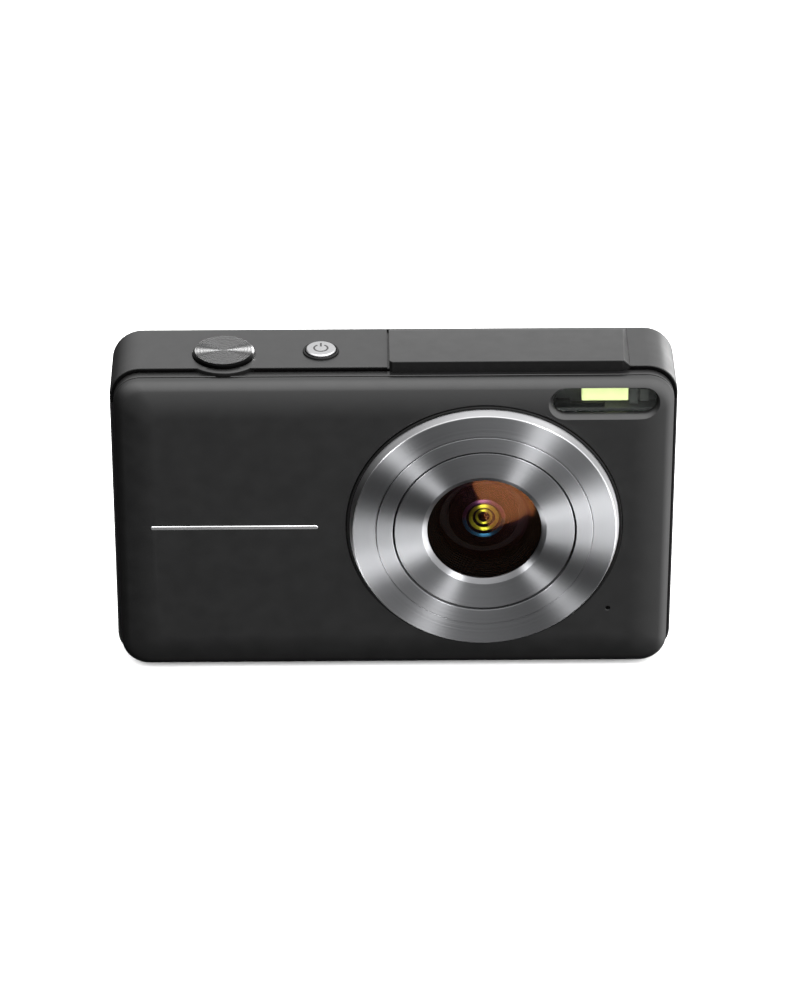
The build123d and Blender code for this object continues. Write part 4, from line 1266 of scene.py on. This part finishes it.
def make_usb_socket():
    half = BODY_W / 2

    def shape(width, height, x):
        return side_ring(rounded(width, height, width / 2 - 1e-3, (USB_D, USB_Z), 10), x)

    rings = [shape(3.2, 9.0, half - 8.1), shape(3.2, 9.0, half - 1.08), shape(3.04, 8.84, half - 1.0),
             shape(2.7, 8.5, half - 1.0), shape(2.6, 8.4, half - 1.1), shape(2.6, 8.4, half - 7.1)]
    tongue = box("tongue", half - 7.3, half - 2.0, USB_D - 0.35, USB_D + 0.35, USB_Z - 3.3, USB_Z + 3.3, 0.1)
    return fuse(stack("usb_socket", rings), tongue)


def make_memory_card():
    end = BODY_W / 2 - 0.3
    card = box("memory_card", end - 15, end, CARD_D - 0.4, CARD_D + 0.3, CARD_Z - 5.5, CARD_Z + 5.5, 0.12)
    lip = box("lip", end - 0.9, end, CARD_D - 0.4, CARD_D + 0.48, CARD_Z - 5.0, CARD_Z + 5.0, 0.1)
    return fuse(card, lip)


# ---- Markings ----

MARK_RISE = 0.02
MARK_SINK = 0.17
MARK_SCALE = 0.85       # size of the keys' marks
ARROW_R = 7.5


def mark(points, depth):
    """A thin flat inlay, drawn in X and Z, whose face stands just above a depth on the back."""
    return stack("mark", [front_ring(points, depth - MARK_SINK), front_ring(points, depth + MARK_RISE)])


def bar(x, z, width, height):
    return [(x - width / 2, z - height / 2), (x + width / 2, z - height / 2),
            (x + width / 2, z + height / 2), (x - width / 2, z + height / 2)]


def triangle(x, z, size, angle):
    """A triangle about a point that points along an angle, in degrees."""
    return [(x + size * cos(radians(angle + turn)), z + size * sin(radians(angle + turn)))
            for turn in (0, 125, 235)]


def arc_band(x, z, radius, width, start, end, steps=24):
    """Band along an arc, from a start angle to an end angle in degrees."""
    angles = [radians(start + (end - start) * i / steps) for i in range(steps + 1)]
    outer = [(x + (radius + width / 2) * cos(a), z + (radius + width / 2) * sin(a)) for a in angles]
    inner = [(x + (radius - width / 2) * cos(a), z + (radius - width / 2) * sin(a)) for a in angles]
    return outer + inner[::-1]


def key_marks():
    """Generic picture marks of each key, as lists of outlines about the key's centre."""
    camera = [arc_band(0, 0, 0.5, 0.2, 0, 359), bar(0, 0.95, 0.9, 0.3), bar(-1.15, 0, 0.22, 1.5),
              bar(1.15, 0, 0.22, 1.5)]
    menu = [bar(0, dz, 2.0, 0.26) for dz in (-0.65, 0, 0.65)]
    play = [triangle(-0.1, 0, 1.15, 180)]
    bin_marks = [bar(0, 0.85, 1.9, 0.24), bar(-0.6, -0.15, 0.22, 1.4), bar(0, -0.15, 0.22, 1.4),
                 bar(0.6, -0.15, 0.22, 1.4), bar(0, -0.9, 1.42, 0.22)]
    return {"mode_button": camera, "menu_button": menu, "play_button": play, "delete_button": bin_marks}


def place_marks():
    """White inlays on the keys, the four-way ring, the rocker and the power button."""
    for node, shapes in key_marks().items():
        dx, dz = key_places()[node]
        inlays = [mark([(KEY_X + dx + MARK_SCALE * x, NAV_Z + dz + MARK_SCALE * z) for x, z in shape],
                       BODY_D + KEY_RISE - 0.01) for shape in shapes]
        name = node.replace("button", "key")
        place(gather(name + "_mark", inlays), name, "key_plastic", MARK_WHITE)
    nav_top = depth_of("nav_ring", 1) - 0.14
    arrows = [mark(triangle(KEY_X + ARROW_R * cos(radians(a)), NAV_Z + ARROW_R * sin(radians(a)), 0.85, a),
                   nav_top) for a in (0, 90, 180, 270)]
    place(gather("nav_marks", arrows), "nav", "key_plastic", MARK_WHITE)
    top = BODY_D + ROCKER_RISE
    bars = [(2.8, 1.5, 0.3), (-2.8, 1.5, 0.3), (-2.8, 0.3, 1.5)]
    signs = [mark(bar(KEY_X + dx, ROCKER_Z, width, height), top) for dx, width, height in bars]
    place(gather("zoom_marks", signs), "zoom", "key_plastic", MARK_WHITE)
    face = limits("power_button")[1].z
    power = [arc_band(POWER_X, POWER_D, 1.25, 0.34, 120, 420), bar(POWER_X, POWER_D + 1.25, 0.34, 1.3)]
    inlays = [stack("mark", [top_ring(shape, face - MARK_SINK), top_ring(shape, face + 0.01)])
              for shape in power]
    place(gather("power_mark", inlays), "power", "bright_trim", MARK_DARK)


# ---- Making everything ----

PAINT = satin_paint()
GRAIN = grained("grained_black", (0.013, 0.013, 0.0135), 0.48)
TRAP = grained("light_trap", (0.0006, 0.0006, 0.0006), 0.7, 0.12, 0.003, 0.06)
INK = grained("ink_black", (0.003, 0.003, 0.003), 0.4, 0.2, 0.001, 0.12)
# The bezel's outer wall, beyond FACE_R - 0.1, is painted lighter all round: a painted highlight.
LENS_METAL = spun_metal("spun_rings", (LENS_X, LENS_Z), "Y", (0.088, 0.089, 0.092), 0.31,
                        FACE_R - 0.1, (0.26, 0.26, 0.265), 0.00012)
SHUTTER_METAL = spun_metal("spun_button", (SHUTTER_X, FRONT_Y + SHUTTER_D), "Z", (0.03, 0.03, 0.03),
                           0.28, SHUTTER_R - 0.3, (0.002, 0.002, 0.002))
BRIGHT = plain_metal("bright_plate", (0.86, 0.86, 0.87), 0.18, (0.1, 1, 1))
POWER_METAL = plain_metal("power_plate", (0.33, 0.33, 0.335), 0.3)
STEEL = plain_metal("steel", (0.55, 0.55, 0.56), 0.3)
BRASS = plain_metal("brass", (0.78, 0.57, 0.25), 0.28)
BLACK_SCREW = plain_metal("black_screw", (0.05, 0.05, 0.052), 0.3)
COVER_GLASS = clear_cover("cover_glass", (0.8, 0.8, 0.8), (1.0, 0.38, 0.13), 0.22)
FRONT_COATED = clear_cover("coated_front", (0.8, 0.8, 0.8), (0.8, 0.25, 0.55), 0.35, 0.1)
REAR_COATED = clear_cover("coated_rear", (0.7, 0.8, 0.7), (0.8, 0.85, 0.1), 3.0, 0.05)
FILTER = clear_cover("filter_glass", (0.4, 0.75, 0.6), (0.3, 0.35, 1.0), 3.0, 0.05)
FLASH_CLEAR = clear_cover("clear_window", (0.9, 0.91, 0.9), (1, 1, 1), 0.3)
LIGHT_PIPE = grained("light_pipe", (0.55, 0.62, 0.55), 0.35, 0.2, 0.002)
REFLECTOR = grained("flash_housing", (0.05, 0.05, 0.052), 0.35, 0.4, 0.004, 0.4)
DISPLAY = display_glass()
PANEL = grained("display_module", (0.03, 0.03, 0.035), 0.4, 0.3, 0.003)
KEYS = grained("key_black", (0.009, 0.009, 0.0095), 0.3, 0.25, 0.002, 0.45)
INNER = grained("inner_black", (0.015, 0.015, 0.015), 0.5)
CHIP = grained("chip_black", (0.012, 0.012, 0.013), 0.45, 0.15, 0.004)
RUBBER = grained("rubber", (0.06, 0.06, 0.06), 0.75, 0.15, 0.006, 0.25)
CARD = grained("card_blue_black", (0.01, 0.012, 0.02), 0.4, 0.2, 0.004)
MARK_WHITE = grained("mark_white", (0.62, 0.62, 0.62), 0.5, 0.1, 0.001)
MARK_DARK = grained("mark_dark", (0.012, 0.012, 0.012), 0.4, 0.1, 0.001)

mid_body = make_mid_body()
place(make_front_shell(), "body", "body_paint", PAINT)
shells = [place(make_front_rim(), "body", "body_paint", PAINT),
          place(make_top_cover(mid_body), "body", "body_paint", PAINT),
          place(make_rear_shell(mid_body), "body", "body_paint", GRAIN)]
bpy.data.objects.remove(mid_body)
carrier, plate = make_deck()
place(carrier, "body", "black_plastic", INK)
place(plate, "body", "body_paint", PAINT)
place(make_trim_bar(), "body", "bright_trim", BRIGHT)

place(make_lens_base_ring(), "body", "black_plastic", INK)
rings = [place(make(), "body", "spun_metal", LENS_METAL)
         for make in (make_lens_bezel_ring, make_lens_mid_ring, make_lens_cone_ring)]
glass = place(make_lens_glass(), "body", "lens_glass", COVER_GLASS)
place(make_lens_baffle(), "body", "black_plastic", TRAP)
place(make_lens_barrel(), "body", "black_plastic", TRAP)
place(make_aperture_stop(), "body", "black_plastic", TRAP)
lips = place(make_aperture_rings(), "body", "spun_metal", lips_painted_reflection())
place(make_lens_element("lens_front_element", 8.9, 1.2, 1.9, 2.45), "body", "lens_glass", FRONT_COATED)
place(make_lens_element("lens_rear_element", 5.1, 1.0, 6.2, 7.75), "body", "lens_glass", REAR_COATED)

place(make_flash_window(), "body", "clear_plastic", FLASH_CLEAR)
place(make_flash_led(), "body", "phosphor", phosphor())

button = place(make_shutter_button(), "shutter", "spun_metal", SHUTTER_METAL)
spring = place(make_shutter_spring(), "body", "steel", STEEL)
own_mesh(spring)
place(make_power_button(), "power", "bright_trim", POWER_METAL)
place(make_power_bezel(), "body", "black_plastic", INK)
# A black ring under the collar's rim: painted shadow.
place(make_collar_shade_ring(), "body", "black_plastic", INK)
place(make_flash_frame(), "body", "black_plastic", INK)
place(make_flash_block(), "body", "reflector", RUBBER)

place(make_lcd_window(), "body", "display_cover", DISPLAY)
for key, (dx, dz) in key_places().items():
    place(make_key(key, KEY_X + dx, NAV_Z + dz), key.replace("button", "key"), "key_plastic", KEYS)
place(make_nav_ring(), "nav", "key_plastic", KEYS)
place(make_ok_button(), "ok", "key_plastic", KEYS)
place(make_zoom_rocker(), "zoom", "key_plastic", KEYS)
place(make_status_led(), "body", "light_pipe", LIGHT_PIPE)
place_marks()

place(make_battery_door(), "door", "body_paint", GRAIN)
place(make_battery_latch(), "latch", "body_paint", GRAIN)
place(make_tripod_nut(), "body", "brass", BRASS)
place(make_strap_bar(), "body", "steel", STEEL)
place(make_case_screws(), "body", "black_screw", BLACK_SCREW)
place(make_usb_socket(), "body", "steel", STEEL)
place(make_memory_card(), "card", "card_plastic", CARD)

# The parts inside keep their CAD shapes.
BOARD = circuit_board()
INSIDE = {
    "lens_holder": INNER, "ir_filter": FILTER, "image_sensor": CHIP, "sensor_board": BOARD,
    "flash_housing": REFLECTOR, "microphone": CHIP, "speaker": INNER, "main_board": BOARD,
    "board_chips": CHIP, "chassis_plate": STEEL, "card_socket": STEEL, "battery": battery_label(),
    "battery_tray": INNER, "battery_contacts": BRASS, "door_hinge_pin": STEEL,
    "top_switch_board": BOARD, "top_switches": INNER, "keypad_board": BOARD, "dome_switches": STEEL,
    "keypad_membrane": RUBBER, "nav_pivot": INNER, "lcd_panel": PANEL,
}
for node, material in INSIDE.items():
    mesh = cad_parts[node].data
    mesh.materials.clear()
    mesh.materials.append(material)


# ---- Stage ----

CAMERA_TARGET = Vector((1.17, -1.9, 32.08)) * MM
CAMERA_AZIMUTH = radians(-0.7175)
CAMERA_ELEVATION = radians(30.91)
CAMERA_DISTANCE = 0.838
TO_CAMERA = Vector((sin(CAMERA_AZIMUTH) * cos(CAMERA_ELEVATION),
                    -cos(CAMERA_AZIMUTH) * cos(CAMERA_ELEVATION), sin(CAMERA_ELEVATION)))


CAMERA_LENS = 161.1
CAMERA_SENSOR = 36

FLOOR_HALF = 3.0        # metres
FLOOR_GAP = 0.05        # keeps the floor clear of the body's flat bottom

STUDIO_LEAN = (0.55, 0.0, 0.75)
STUDIO_LEVEL = 5.0
BEHIND_SHARE = 0.42     # how bright the studio is behind the camera's subject
STUDIO_STOPS = ((-1.0, 0.0), (-0.62, 0.004), (-0.386, 0.04), (-0.19, 0.2), (0.0, 0.5), (0.3, 0.8),
                (0.7, 1.0))     # (lean, level)

GLOW_SHIFT = Vector((16.0, 0, 14.0)) * MM
GLOW_TURN = radians(20)


def make_floor():
    """White floor. It is left out of the reflections, which come from the studio's own light."""
    bm = bmesh.new()
    bmesh.ops.create_grid(bm, x_segments=1, y_segments=1, size=FLOOR_HALF,
                          matrix=Matrix.Translation((0, 0, -FLOOR_GAP * MM)))
    floor = new_object("floor", bm)
    s = Surface("floor_white", (0.9, 0.9, 0.9), 0.9, Specular_IOR_Level=0.0)
    s.colour(s.mixed(s.noise(40.0), (0.89, 0.89, 0.89), (0.91, 0.91, 0.91)))
    floor.data.materials.append(s.material)
    floor.visible_glossy = False
    floor.visible_diffuse = False


def make_studio():
    """Soft light that is bright above and to the right, and falls off to the left and below."""
    world = bpy.data.worlds.new("studio")
    world.use_nodes = True
    n = Nodes(world.node_tree)
    direction = n.add("ShaderNodeTexCoord").outputs["Generated"]
    lean = n.add("ShaderNodeVectorMath", operation="DOT_PRODUCT")
    lean.inputs[1].default_value = STUDIO_LEAN
    n.link(direction, lean.inputs[0])
    ramp = n.add("ShaderNodeValToRGB")
    ramp.color_ramp.interpolation = "EASE"
    while len(ramp.color_ramp.elements) < len(STUDIO_STOPS):
        ramp.color_ramp.elements.new(0.5)
    for element, (position, level) in zip(ramp.color_ramp.elements, STUDIO_STOPS):
        element.position = (position + 1) / 2
        element.color = (level, level, level, 1)
    n.link(n.ranged(lean.outputs["Value"], 0, 1, -1, 1), ramp.inputs["Fac"])
    level = n.ranged(n.along(direction, "Y"), STUDIO_LEVEL, STUDIO_LEVEL * BEHIND_SHARE, -0.2, 0.7,
                     "SMOOTHSTEP")
    background = n.tree.nodes["Background"]
    n.link(ramp.outputs["Color"], background.inputs["Color"])
    n.link(level, background.inputs["Strength"])
    bpy.context.scene.world = world


def mirrored(facing, turn, tilt):
    """Direction that a facet mirrors to the camera. The facet belongs to a face with that normal, and
    leans by tilt towards turn degrees around it."""
    normal = Vector(facing)
    up = Vector((0, 0, 1)) if normal.z == 0 else Vector((0, 1, 0))
    aside = Vector((cos(radians(turn)), 0, 0)) + up * sin(radians(turn))
    facet = (normal * cos(radians(tilt)) + aside * sin(radians(tilt))).normalized()
    return facet * 2 * facet.dot(TO_CAMERA) - TO_CAMERA


def make_panel(name, middle, direction, size, power, pieces, distance=0.5):
    """A soft panel in a direction from a point, in millimetres, that only lights some pieces."""
    lamp = bpy.data.lights.new(name, "AREA")
    lamp.shape = "RECTANGLE"
    lamp.size, lamp.size_y = size
    lamp.energy = power
    light = linked(name, lamp)
    light.location = Vector(middle) * MM + direction * distance
    light.rotation_euler = (-direction).to_track_quat("-Z", "Y").to_euler()
    light.visible_camera = False
    lit = bpy.data.collections.new(name + "_lit")
    for piece in pieces:
        lit.objects.link(piece)
    light.light_linking.receiver_collection = lit
    light.light_linking.blocker_collection = lit
    return light


def make_panels():
    """Panels whose mirror images make the wedges on the turned metal and the glow in the lens."""
    lens = (LENS_X, FRONT_Y - LENS_PROUD, LENS_Z)
    for turn, tilt, size, power in ((8, 20, 0.2, 4.8), (61, 24, 0.09, 3.2), (134, 20, 0.06, 2.0),
                                    (198, 20, 0.08, 1.2)):
        make_panel("ring_panel", lens, mirrored((0, -1, 0), turn, tilt), (size, size), power, rings)
    top = (SHUTTER_X, FRONT_Y + SHUTTER_D, BODY_H)
    for turn, tilt, size, power in ((3, 26, 0.16, 8.0), (106, 14, 0.18, 1.3)):
        make_panel("button_panel", top, mirrored((0, 0, 1), turn, tilt), (size, size), power, [button])
    corner = (BODY_W / 2 - CORNER_R / 2, FRONT_Y + BODY_D / 2, BODY_H - CORNER_R / 2)
    make_panel("edge_strip", corner, mirrored((0, 0, 1), 0, 52), (0.03, 0.3), 0.3, shells)
    make_panel("lip_panel", lens, mirrored((0, -1, 0), 90, 12), (0.1, 0.1), 1.6, [lips])
    aim = mirrored((0, -1, 0), 0, 0)
    glow = make_panel("lens_glow", lens, aim, (0.034, 0.016), 0.021, [glass], 0.1)
    glow.rotation_euler.rotate_axis("Z", GLOW_TURN)
    glow.location += GLOW_SHIFT


def make_camera():
    """The camera of the product picture: far away, above the front, with a long lens."""
    view = bpy.data.cameras.new("camera")
    view.sensor_fit = "VERTICAL"
    view.sensor_height = CAMERA_SENSOR
    view.lens = CAMERA_LENS
    camera = linked("camera", view)
    camera.location = CAMERA_TARGET + TO_CAMERA * CAMERA_DISTANCE
    camera.rotation_euler = (-TO_CAMERA).to_track_quat("-Z", "Y").to_euler()
    bpy.context.scene.camera = camera


make_floor()
make_camera()
make_studio()
make_panels()
bpy.context.scene.view_settings.view_transform = "Standard"
